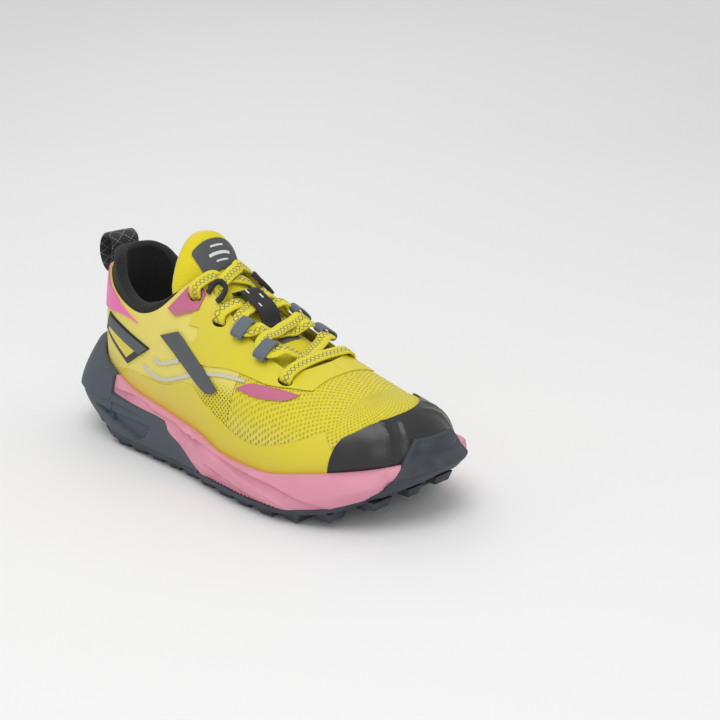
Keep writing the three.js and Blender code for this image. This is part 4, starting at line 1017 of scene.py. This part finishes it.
def hole_cutter(i, side):
    """A rounded slot square through the upper at an eyelet."""
    place = on_upper(ROWS[i][0], row_y(i, side), 0)
    up = normal_at(place)
    across = up.cross(Vector((1, 0, 0))).normalized()
    bm = bmesh.new()
    bmesh.ops.create_cone(bm, cap_ends=True, segments=24, radius1=1, radius2=1, depth=12)
    stretch = Matrix.Diagonal((LACE_WIDTH / 2 + 1.4, LACE_THICK / 2 + 2.0, 1, 1))
    turn = Matrix((across.cross(up), across, up)).transposed().to_4x4()
    bmesh.ops.transform(bm, matrix=Matrix.Translation(place) @ turn @ stretch, verts=bm.verts)
    return as_object(bm, "cutter")


def punch(piece, rows, side):
    for i in rows:
        cut(piece, hole_cutter(i, side), "DIFFERENCE")
    return piece


def collar_cutter():
    return prism(softened(COLLAR + [(107, 220), (-20, 220)]), "y", -120, 120)


# %% Quarters and vamp
UPPER = 1.2
for side_name, side in SIDES:
    w_seam = around(SEAM - 0.2, side)
    start, end = (0.0, w_seam) if side < 0 else (w_seam, 2.0)
    quarter = shell(start, end, -0.3, 1, 0, -UPPER, 2.2)
    cut(quarter, collar_cutter(), "DIFFERENCE")
    cut(quarter, top_cut(THROAT, 40, 220), "DIFFERENCE")
    punch(quarter, (3, 5), side)
    finish_piece(quarter, f"quarter_{side_name}_cloth", PALE_MESH, "pale_mesh", f"quarter_{side_name}")

vamp = arch(around(SEAM + 0.2, -1), around(SEAM + 0.2, 1), -0.3, 0, -UPPER, 2.0)
cut(vamp, top_cut(THROAT, 40, 220), "DIFFERENCE")
punch(punch(vamp, (0,), -1), (0,), 1)
finish_piece(vamp, "vamp_cloth", MESH, "yellow_mesh", "vamp_mesh")

# %% Welded films
FILM_LOW, FILM_HIGH = 0.08, 0.85  # first layer of film over the cloth
OVER_LOW, OVER_HIGH = 0.9, 1.6  # second layer


def cut_panel(x0, x1, t0, t1, side, outline_points, low=FILM_LOW, high=FILM_HIGH, cell=1.8):
    """A patch of film from x0 to x1 and t0 to t1, cut to its outline in the side view."""
    ends = sorted((around(x0, side), around(x1, side)))
    return cut(shell(ends[0], ends[1], t0, t1, high, low, cell), side_cut(outline_points, side))


for side_name, side in SIDES:
    rand = cut_panel(38, 234, -0.2, 0.45, side, RAND)
    cut(rand, top_cut(TOE_CAP, 0, 200), "DIFFERENCE")
    finish_piece(rand, f"rand_{side_name}_film", YELLOW_FILM, "yellow_film", f"rand_{side_name}")

    eyestay = cut_panel(98, 196, 0.15, 1, side, EYESTAY)
    cut(eyestay, top_cut(THROAT, 40, 220), "DIFFERENCE")
    punch(eyestay, PUNCHED, side)
    finish_piece(eyestay, f"eyestay_{side_name}_film", YELLOW_FILM, "yellow_film", f"eyestay_{side_name}")

    patch = cut_panel(84, 114, 0.2, 1, side, EYELET_PATCH, OVER_LOW, OVER_HIGH)
    cut(patch, collar_cutter(), "DIFFERENCE")
    cut(patch, top_cut(THROAT, 40, 220), "DIFFERENCE")
    punch(patch, (5,), side)
    finish_piece(patch, f"eyelet_patch_{side_name}_film", ROSE_FILM, "rose_film",
                 f"eyelet_patch_{side_name}")

    finish_piece(cut_panel(145, 194, 0.1, 0.9, side, FLASH), f"flash_{side_name}_film", ROSE_FILM,
                 "pink_film",
                 f"forefoot_flash_{side_name}")
    finish_piece(cut_panel(80, 148, 0.05, 0.8, side, SLASH, OVER_LOW, OVER_HIGH),
                 f"slash_{side_name}_print",
                 CHARCOAL, "grey_print", f"side_slash_{side_name}")
    finish_piece(cut_panel(74, 108, 0.05, 0.5, side, PIPING_UPPER), f"piping_upper_{side_name}_print",
                 SILVER_FILM, "silver_print", f"piping_upper_{side_name}")
    finish_piece(cut_panel(64, 160, 0.02, 0.6, side, PIPING_LOWER), f"piping_lower_{side_name}_print",
                 SILVER_FILM, "silver_print", f"piping_lower_{side_name}")

    badge_ends = sorted(((0.08, around(80, side)) if side < 0 else (around(80, side), 1.92)))
    badge = cut(shell(*badge_ends, 0.0, 0.6, FILM_HIGH, FILM_LOW, 1.8), side_cut(BADGE, side))
    finish_piece(badge, f"badge_{side_name}_outline", INK, "badge_film", f"heel_badge_{side_name}")
    face = cut(shell(*badge_ends, 0.0, 0.6, FILM_HIGH + 0.35, FILM_HIGH + 0.05, 1.8),
               side_cut(BADGE_INSET, side))
    finish_piece(face, f"badge_{side_name}_face", BADGE_FILM, "badge_film")
    band = cut(shell(*badge_ends, 0.0, 0.6, FILM_HIGH + 0.75, FILM_HIGH + 0.4, 1.8),
               side_cut(BADGE_BAND, side))
    finish_piece(band, f"badge_{side_name}_band", CHARCOAL, "grey_print")

heel = cut(shell(-around(70, -1), around(70, -1), 0.1, 0.75, FILM_HIGH, FILM_LOW, 2), side_cut(HEEL_PATCH))
finish_piece(heel, "heel_overlay_film", PINK_FILM, "pink_film", "heel_overlay")

# %% [markdown]
# ## Toe cap
# A glossy moulded film over the toe with two raised lines that sweep back from its front and a shallow
# dimple on the outer side. They are pushed out of the patch before it is cut, because a line cut in
# afterwards would have hard edges.


# %% Toe cap
def bump_line(p, a, b, half_width, height, bow=4.0):
    """Height of a soft raised line from a to b in plan, bowed to one side, at a point."""
    along, to_point = b - a, p.xy - a
    s = max(0.0, min(1.0, to_point.dot(along) / along.length_squared))
    side_step = Vector((-along.y, along.x)).normalized() * bow * math.sin(math.pi * s)
    distance = (to_point - along * s - side_step).length
    return height * math.exp(-((distance / half_width) ** 2))


CAP_LINES = [(Vector((236, -17)), Vector((249, -33))), (Vector((242, -9)), Vector((253, -25))),
             (Vector((236, 17)), Vector((249, 33))), (Vector((242, 9)), Vector((253, 25)))]
cap = arch(around(205, -1), around(205, 1), -0.3, FILM_HIGH + 0.3, FILM_LOW, 1.4)
for v in cap.data.vertices:
    lift = sum(bump_line(v.co, a, b, 1.3, 0.9) for a, b in CAP_LINES)
    dimple = 0.6 * math.exp(-(((v.co.x - 233) / 7) ** 2 + ((abs(v.co.y) - 33) / 5) ** 2))
    v.co += v.normal * (lift - dimple) * (1 if v.normal.z > -0.1 else 0)
cut(cap, top_cut(TOE_CAP))
finish_piece(cap, "toe_cap_film", GLOSS, "black_gloss", "toe_cap")

# %% [markdown]
# ## Padded collar
# Foam under a ribbed knit, thick at the heel and rolled over at the top. Its section is a long loop that
# stands inside the quarter, rolls over above the edge and comes down the inner wall. A simulated cushion
# would swell evenly, while a lasted collar is widest at its roll and drawn in below, so the section is
# drawn directly.

# %% Collar
COLLAR_TOP = profile([(-20, 112), (14, 112), (26, 109), (36, 101), (45, 93.5), (54, 89), (63, 87.5),
                      (72, 89.5),
                      (82, 94.5), (90, 100.5), (96, 104.5)])
LINING_OUT, LINING_DEEP, LINING_FOOT = -1.6, 7.4, 60
COLLAR_END = 95


def collar_chain(r, taper):
    """Up the outside of the padding, over the roll and down the inside, back to the start."""
    deep = LINING_DEEP * taper
    top = COLLAR_TOP(r.at) - (LINING_DEEP - deep) * 0.4
    low = LINING_FOOT + 33 * smooth_step(50, 95, r.at)
    radius = deep / 2
    seat = top - radius
    middle = LINING_OUT - radius
    outer = [r.point(upper_out(r, z, LINING_OUT), z) for z in rising(low, seat, 14)]
    roll = []
    for k in range(1, 12):
        angle = math.pi * k / 12
        out = upper_out(r, seat, middle) + radius * math.cos(angle) * 1.06
        roll.append(r.point(out, seat + radius * math.sin(angle)))
    inner = []
    for k, z in enumerate(rising(seat, low, 14)):
        pinch = 1 - 0.25 * smooth_step(0, 10, k)
        inner.append(r.point(upper_out(r, z, LINING_OUT - deep * pinch), z))
    return outer + roll + inner + [outer[0]]


def collar_taper(w):
    near_end = abs(w) / around(COLLAR_END, -1)
    return 1 - 0.72 * smooth_step(0.72, 0.97, near_end)


w_collar = around(COLLAR_END, -1)
collar_steps = 220
collar_points = []
for i in range(collar_steps + 1):
    w = -w_collar + 2 * w_collar * i / collar_steps
    collar_points.append(collar_chain(rib_round(w), collar_taper(w)))
collar_nv = len(collar_points[0]) - 1
collar_bm = grid_mesh(collar_steps, collar_nv, lambda u,
                      v: collar_points[round(u * collar_steps)][round(v * collar_nv)])
collar = finish_piece(as_object(collar_bm, "collar"), "padded_collar", COLLAR_KNIT, "black_knit",
                      "collar_lining",
                      angle=60)

# %% [markdown]
# ## Tongue
# The lower tongue is thin and the top is a soft pad. On the real shoe they are one piece, so they are one
# mesh here.

# %% Tongue
TONGUE_START = 79
TONGUE_EDGE = [(79, 24), (81, 26.5), (85, 27.5), (90, 27), (96, 23.5), (102, 18), (106, 16), (112, 20),
               (126, 25), (150, 27.5), (180, 27), (192, 18)]
edge_at = profile(TONGUE_EDGE)
thick_at = profile([(79, 6.5), (84, 9), (96, 8.6), (102, 6), (108, 3.2), (120, 2.8), (192, 2.4)])
depth_at = profile([(79, 10), (81, 5.5), (84, 0.8), (88, -2), (93, -1.2), (98, 0.6), (102, 2.2), (107, 4.4),
                    (112, 4.9), (192, 4.9)])
TONGUE_MIDDLE = -1.0  # the tongue lies a little to the outer side


def tongue_place(u, v):
    """A pillow from the top edge to the toe end: over its outer face and back on its inner one."""
    x = TONGUE_START + (192 - TONGUE_START) * (0.35 * u ** 2 + 0.65 * u)
    outer_side = v <= 0.5
    across = (v * 4 - 1) if outer_side else (3 - v * 4)
    half = edge_at(x)
    y = TONGUE_MIDDLE + half * across
    end = min(1.0, (x - TONGUE_START) / 4.0)
    fullness = (max(0.0, 1 - abs(across) ** 4)) ** 0.5 * math.sqrt(max(0.0, 1 - (1 - end) ** 2) + 1e-6)
    middle = depth_at(x) + thick_at(x) / 2
    offset = middle - thick_at(x) / 2 * fullness if outer_side else middle + thick_at(x) / 2 * fullness
    channel = 0.5 * math.exp(-(((x - 104) / 1.6) ** 2))
    p = on_upper(x, y, 0)
    return p - slope_at(x, y, 0) * (offset + (channel if outer_side else 0)) * 0.97


tongue = as_object(grid_mesh(120, 64, tongue_place), "tongue")
finish_piece(tongue, "tongue_pad", PAD, "yellow_pad", "tongue", "tongue_top", body=None, angle=80)
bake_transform(tongue)


def on_tongue(x, y, lift):
    """A place over the face of the tongue."""
    across = abs(y - TONGUE_MIDDLE) / edge_at(x)
    fullness = math.sqrt(max(0.0, 1 - across ** 4))
    offset = depth_at(x) + thick_at(x) / 2 * (1 - fullness)
    return on_upper(x, y, 0) - slope_at(x, y, 0) * (offset * 0.97 - lift)


# %% [markdown]
# ## Label and patch
# A dark label on the pad and a small patch low on the tongue. The label carries only three plain bars.

# %% Label
LABEL_GREY = film("label_grey", srgb(74, 76, 80), 0.7, 0.5)
LABEL_MARK = film("label_mark", srgb(214, 214, 208), 0.5)


def tongue_film(name, x0, x1, y0, y1, low, high, corner=0.0, nu=24, nv=24):
    """A thin plate that follows the tongue, its corners rounded by pulling its ends in."""
    def place(u, v):
        x = x0 + (x1 - x0) * u
        k = v * 2
        across, lift = (k, high) if k <= 1 else (2 - k, low)
        if v >= 1:
            across, lift = 0, high
        edge = min(x - x0, x1 - x, corner) if corner else 0
        pull = corner - math.sqrt(max(0.0, corner ** 2 - (corner - edge) ** 2)) if corner else 0
        y = (y0 + pull) + (y1 - y0 - 2 * pull) * across
        return on_tongue(x, y, lift)
    return as_object(grid_mesh(nu, 2 * nv, place), name)


label = tongue_film("label", 91.2, 104.4, -15.4, 13.8, 0.05, 0.6, 1.2)
finish_piece(label, "tongue_label_film", LABEL_GREY, "grey_print", "tongue_label", body="tongue_top")
marks = [(94.2, 95.0, -5, 4), (97.2, 98.5, -8, 7), (100.6, 101.3, -5, 4)]
for i, (x0, x1, y0, y1) in enumerate(marks):
    mark = tongue_film("mark", x0, x1, y0, y1, 0.62, 0.85, 0.3, 6, 16)
    finish_piece(mark, f"label_bar_{i + 1}", LABEL_MARK, "silver_print", body="tongue_top")
patch = tongue_film("patch", 147, 157, -8.5, 7, 0.1, 0.6, 1.2)
finish_piece(patch, "tongue_patch_film", CHARCOAL, "grey_print", "tongue_patch")

# %% [markdown]
# ## Lace
# One flat woven tape. It lies over the tongue, goes round through the webbing loops, down through the
# punched eyelets and ends inside. It follows the same route as in the design, in finer steps, with
# rounded edges.

# %% Lace route
TONGUE_DEPTH = 4.6
OVER, UNDER, EDGE_LIFT = 0.2, -2.8, 1.4
OUTSIDE = 0.7 + 0.8 + LACE_THICK / 2
OUTSIDE_PATCH = OUTSIDE + 1.1
INSIDE = -UPPER - (TONGUE_DEPTH - UPPER) / 2
WEBBING, LOOP_ROOM = 1.1, 3.4
LOOP_REST = 0.7 + 0.8 + WEBBING + LOOP_ROOM / 2
MOUTH, TAIL = 6.2, 11


def local(x, y, a, b):
    """From a spot on the upper: a towards the middle of the shoe, b outwards."""
    at = on_upper(x, y, 0)
    up = normal_at(at)
    inwards = up.cross(Vector((-1 if y < 0 else 1, 0, 0))).normalized()
    if inwards.y * y > 0:
        inwards.negate()
    return at + inwards * a + up * b


def inside_wall(x, y, drop):
    r = Rib(x, 0, math.copysign(1, y))
    z = upper_height(x, y, 0) - drop
    return r.point(upper_out(r, z, INSIDE), z)


def dive(x, y, top):
    steps = [(5.5, top + 0.5), (1.5, top - 0.1), (0, -0.1), (1.6, INSIDE + 0.2), (4.5, INSIDE)]
    return [local(x, y, a, b) for a, b in steps]


def tuck(x, y, top):
    steps = [(6, top + 1.1), (2.6, top + 0.8), (0.4, 1), (-0.2, -0.6)]
    tail = [(0.5, 1.5), (2, 5), (6, 9), (TAIL, 11)]
    return [local(x, y, a, b) for a, b in steps] + [inside_wall(x + dx, y, drop) for dx, drop in tail]


def through_loop(x, y, s):
    way = [(6.4, 7, OUTSIDE + 1.2), (5, 1.8, LOOP_REST), (3, 0, LOOP_REST)]
    there = [on_upper(x + dx, y + dy * s, d) for dx, dy, d in way]
    back = [on_upper(x - dx, y + dy * s, d) for dx, dy, d in way[::-1]]
    return there + [on_upper(x, y - 0.3 * s, LOOP_REST)] + back


def cross(x0, x1, s, d, start=None):
    heights = [EDGE_LIFT + d / 3 if start is None else start, d, d, d, EDGE_LIFT + d / 3]
    return [on_upper(x0 + (x1 - x0) * (i + 1) / 6, y * s - 2, height)
            for i, (y, height) in enumerate(zip((11, 5.5, 0, -5.5, -11), heights))]


def zigzag(s, heights):
    x = [row[0] for row in ROWS]
    return (dive(x[0], row_y(0, s), OUTSIDE)
            + cross(x[0], x[1] + MOUTH, s, heights[0], heights[0] + 0.5)
            + through_loop(x[1], row_y(1, -s), s)
            + cross(x[1] - MOUTH, x[2] + MOUTH, -s, heights[1])
            + through_loop(x[2], row_y(2, s), -s)
            + cross(x[2] - MOUTH, x[3], s, heights[2])
            + dive(x[3], row_y(3, -s), OUTSIDE)[:4]
            + [local(x[3] - 3.5, row_y(3, -s), 3, INSIDE),
               on_upper(x[4] + 2, row_y(4, -s) - 0.5 * s, INSIDE),
               on_upper(x[4], row_y(4, -s) + 3 * s, INSIDE + 0.4)]
            + cross(x[4] - 1, x[5], -s, heights[3], heights[3] + 0.5)
            + tuck(x[5], row_y(5, s), OUTSIDE_PATCH))


def spaced(points, step):
    """Even steps along a smooth line through the points."""
    line = []
    n = len(points)
    for i in range(n - 1):
        p0 = points[i - 1] if i else points[0] * 2 - points[1]
        p3 = points[i + 2] if i + 2 < n else points[-1] * 2 - points[-2]
        line += [spline(p0, points[i], points[i + 1], p3, k / 12) for k in range(12)]
    line.append(points[-1])
    run = np.cumsum([0] + [(b - a).length for a, b in zip(line, line[1:])])
    places = np.linspace(0, run[-1], max(3, round(run[-1] / step)) + 1)
    flat = np.array(line)
    return [Vector([float(np.interp(s, run, flat[:, k])) for k in range(3)]) for s in places]


def flat_sides(points, first):
    """Width directions that keep a tape flat on the upper, without a sudden half turn."""
    last, sides = first, []
    for i, p in enumerate(points):
        along = (points[min(i + 1, len(points) - 1)] - points[max(i - 1, 0)]).normalized()
        across = normal_at(p).cross(along)
        if across.length > 0.5:
            across.normalize()
            last = -across if across.dot(last) < 0 else across
        sides.append(last.copy())
    for _ in range(3):
        sides = [(sides[max(i - 1, 0)] + side * 2 + sides[min(i + 1, len(sides) - 1)]).normalized()
                 for i, side in enumerate(sides)]
    return sides


def tape(points, sides, width, thick, girth=16):
    """A flat tape with round edges swept along points."""
    frames = []
    for i, p in enumerate(points):
        along = (points[min(i + 1, len(points) - 1)] - points[max(i - 1, 0)]).normalized()
        across = (sides[i] - along * sides[i].dot(along)).normalized()
        frames.append((p, across, along.cross(across)))
    nu = len(points) - 1

    def place(u, v):
        p, across, up = frames[round(u * nu)]
        angle = 2 * math.pi * (round(v * girth) % girth) / girth
        c, s = math.cos(angle), math.sin(angle)
        flatten = (abs(c) ** 6 + abs(s) ** 6) ** (-1 / 6)
        return p + across * (c * flatten * width / 2) + up * (s * flatten * thick / 2)

    return grid_mesh(nu, girth, place)


lateral_half = zigzag(-1, (OVER, UNDER, OVER, UNDER))
medial_half = zigzag(1, (UNDER, OVER, UNDER, OVER))
bar = [on_upper(ROWS[0][0] + dx, y, d) for dx, y, d in ((0.5, 12, 2.2), (1, -3, 1.6), (0.5, -18, 2.2))]
lace_line = spaced(medial_half[::-1] + bar + lateral_half, 1.2)
LACE_SHOWN = LACE_WIDTH + 0.8  # worn yarn spreads a little
lace_length = sum((b - a).length for a, b in zip(lace_line, lace_line[1:]))
lace = as_object(tape(lace_line, flat_sides(lace_line, Vector((1, 0, 0))), LACE_SHOWN, LACE_THICK), "lace")
finish_piece(lace, "flat_lace", LACE_YARN, "lace_yarn", "lace", angle=60)
print("lace is", round(lace_length), "mm long")

# %% [markdown]
# ## Webbing loops, cord loops, keeper and pull loop
# Each lace loop is a fold of grey webbing, the cord loops are round black cord, and the keeper is a wide
# black strap sewn down at both ends. The pull loop at the heel is a closed band of webbing that turns
# with its own body.

# %% Loops beside the tongue
def webbing_loop(i, side):
    """A flattened sleeve of webbing that the lace runs through."""
    at = on_upper(ROWS[i][0], row_y(i, side), LOOP_REST)
    up = normal_at(at)
    across = up.cross(Vector((1, 0, 0))).normalized()
    turn = Matrix((across, up, across.cross(up))).transposed()
    wide, high, long = LACE_WIDTH / 2 + 2.5 + WEBBING / 2, LOOP_ROOM / 2 + WEBBING / 2, 7.6
    girth, wall = 40, [(0.5, -0.5), (0.5, 0.5), (-0.5, 0.5), (-0.5, -0.5), (0.5, -0.5)]

    def place(u, v):
        angle = 2 * math.pi * (round(u * girth) % girth) / girth
        c, s = math.cos(angle), math.sin(angle)
        flatten = (abs(c) ** 3 + abs(s) ** 3) ** (-1 / 3)
        depth, end = wall[round(v * 4)]
        rim = Vector((c * flatten * (wide + depth * WEBBING), s * flatten * (high + depth * WEBBING),
                      end * long))
        return at + turn @ rim

    return as_object(grid_mesh(girth, 4, place, caps=False), "loop")


for i in (1, 2):
    for side_name, side in SIDES:
        loop = webbing_loop(i, side)
        soften = loop.modifiers.new("edges", "BEVEL")
        soften.width, soften.segments, soften.limit_method = 0.3 * MM, 2, "ANGLE"
        finish_piece(loop, f"webbing_sleeve_{i}_{side_name}", GREY_WEB, "grey_webbing",
                     f"webbing_loop_{i}_{side_name}")

CORD = 2.6
for side_name, side in SIDES:
    x, y = ROWS[4][0], row_y(4, side)
    bends = [(-3.6, 2.5), (-4, -1), (-3, -4.5), (0, -6), (3, -4.5), (4, -1), (3.6, 2.5)]
    route = [on_upper(x + dx, y + side * dy, 0.7 + 0.8 + CORD / 2 + 0.2 + (0.4 if dy < -2 else 0)) for dx,
             dy in bends]
    cord_line = spaced(route, 0.8)
    cord = as_object(tape(cord_line, flat_sides(cord_line, Vector((0, 1, 0))), CORD, CORD, 16), "cord")
    finish_piece(cord, f"cord_bow_{side_name}", CORD_WEAVE, "black_cord", f"cord_loop_{side_name}",
                 angle=70)

# %% Keeper strap
KEEPER = [(116.8, -3.9), (119, -3.6), (122, 1), (125.5, 2.4), (130.5, 2.6), (135.5, 2.4), (138.8, 1),
          (141.4, -3.6),
          (143.6, -3.9)]
keeper_line = spaced([on_upper(x, -2, d) for x, d in KEEPER], 0.9)
keeper = as_object(tape(keeper_line, [Vector((0, 1, 0))] * len(keeper_line), 14, 0.9, 24), "keeper")
finish_piece(keeper, "keeper_strap", KEEPER_WEB, "keeper_strap", "lace_keeper", angle=60)

# Small woven marks along the strap: plain dashes.
for i, (x, y) in enumerate(((125, -5), (130, 1), (135, -5))):
    dash_line = spaced([on_upper(x + dx, y, 3.1) for dx in (-1.5, 0, 1.5)], 0.5)
    dash = tape(dash_line, [Vector((0, 1, 0))] * len(dash_line), 1.1, 0.3, 8)
    finish_piece(as_object(dash, "dash"), f"keeper_dash_{i + 1}", LABEL_MARK, "silver_print")

# %% Pull loop
PULL = [(8.3, 94), (3.4, 97.5), (0.8, 105), (2.6, 113), (7.6, 117), (12.6, 113.5), (12.4, 106), (10.4, 99)]
PULL_WIDTH = 20
pull_points = [Vector((x, 0, z)) for x, z in PULL]
n_pull = len(pull_points)
pull_line = [spline(pull_points[i - 1], pull_points[i], pull_points[(i + 1) % n_pull],
                    pull_points[(i + 2) % n_pull], k / 6) for i in range(n_pull) for k in range(6)]


def pull_place(u, v):
    n = len(pull_line)
    i = round(u * n) % n
    ahead, behind = pull_line[(i + 1) % n], pull_line[i - 1]
    out = Vector(((ahead - behind).z, 0, -(ahead - behind).x)).normalized()
    angle = 2 * math.pi * (round(v * 20) % 20) / 20
    c, s = math.cos(angle), math.sin(angle)
    flatten = (abs(c) ** 5 + abs(s) ** 5) ** -0.2
    return pull_line[i] + out * (s * flatten * 0.75) + Vector((0, c * flatten * PULL_WIDTH / 2, 0))


pull = as_object(grid_mesh(len(pull_line), 20, pull_place, caps=False), "pull")
finish_piece(pull, "heel_pull", BLACK_WEB, "black_webbing", "pull_loop", body="pull_loop", angle=60)
anchor_turn = HEEL_SHARE * 0.235  # half the webbing's width, as a share of the way round
anchor = shell(-anchor_turn, anchor_turn, 0.165, 0.257, 2.2, 1.5, 1.5)
finish_piece(anchor, "heel_pull_anchor", BLACK_WEB, "black_webbing", "pull_loop_anchor")

# %% [markdown]
# ## Studio
# A pale floor that rises behind the shoe into a wall in one curve, as a paper backdrop does, so that no
# horizon shows. The light is a bright even sky with broad soft panels; small lamps would draw hard
# shadows.

# %% Floor, lights and sky
SWEEP_START, SWEEP_RISE = 1.2, 1.1  # metres behind the shoe where the paper starts to rise, and how fast
floor_bm = bmesh.new()
bmesh.ops.create_grid(floor_bm, x_segments=80, y_segments=80, size=8)
away = Vector((math.cos(math.radians(132.5)), math.sin(math.radians(132.5)), 0))
for vertex in floor_bm.verts:
    behind = max(0.0, vertex.co.dot(away) - SWEEP_START)
    vertex.co.z = SWEEP_RISE * behind ** 2 / (1 + behind)
floor = bpy.data.objects.new("floor", bpy.data.meshes.new("floor"))
floor_bm.to_mesh(floor.data)
floor_bm.free()
floor.data.shade_smooth()
scene.collection.objects.link(floor)
floor_finish = Finish("floor", (0.83, 0.83, 0.83, 1), 0.95)
floor.data.materials.append(floor_finish.material)
floor.location.z = cad_size[0][2] - 0.0002


def panel_light(name, place, size, power, aim=(0, 0, 0.04)):
    data = bpy.data.lights.new(name, "AREA")
    data.shape, data.size, data.energy = "DISK", size, power
    lamp = bpy.data.objects.new(name, data)
    lamp.location = place
    lamp.rotation_euler = (Vector(aim) - Vector(place)).to_track_quat("-Z", "Y").to_euler()
    scene.collection.objects.link(lamp)


panel_light("key", (0.3, -0.5, 1.3), 1.0, 7)
panel_light("fill", (1.2, -0.9, 0.7), 0.9, 2)
panel_light("back", (-0.9, 0.8, 0.9), 0.9, 2)
world = bpy.data.worlds.new("studio")
world.use_nodes = True
world.node_tree.nodes["Background"].inputs["Color"].default_value = (1, 1, 1, 1)
world.node_tree.nodes["Background"].inputs["Strength"].default_value = 0.72
scene.world = world
scene.view_settings.view_transform = "Standard"
print("floor at", round(floor.location.z, 4))
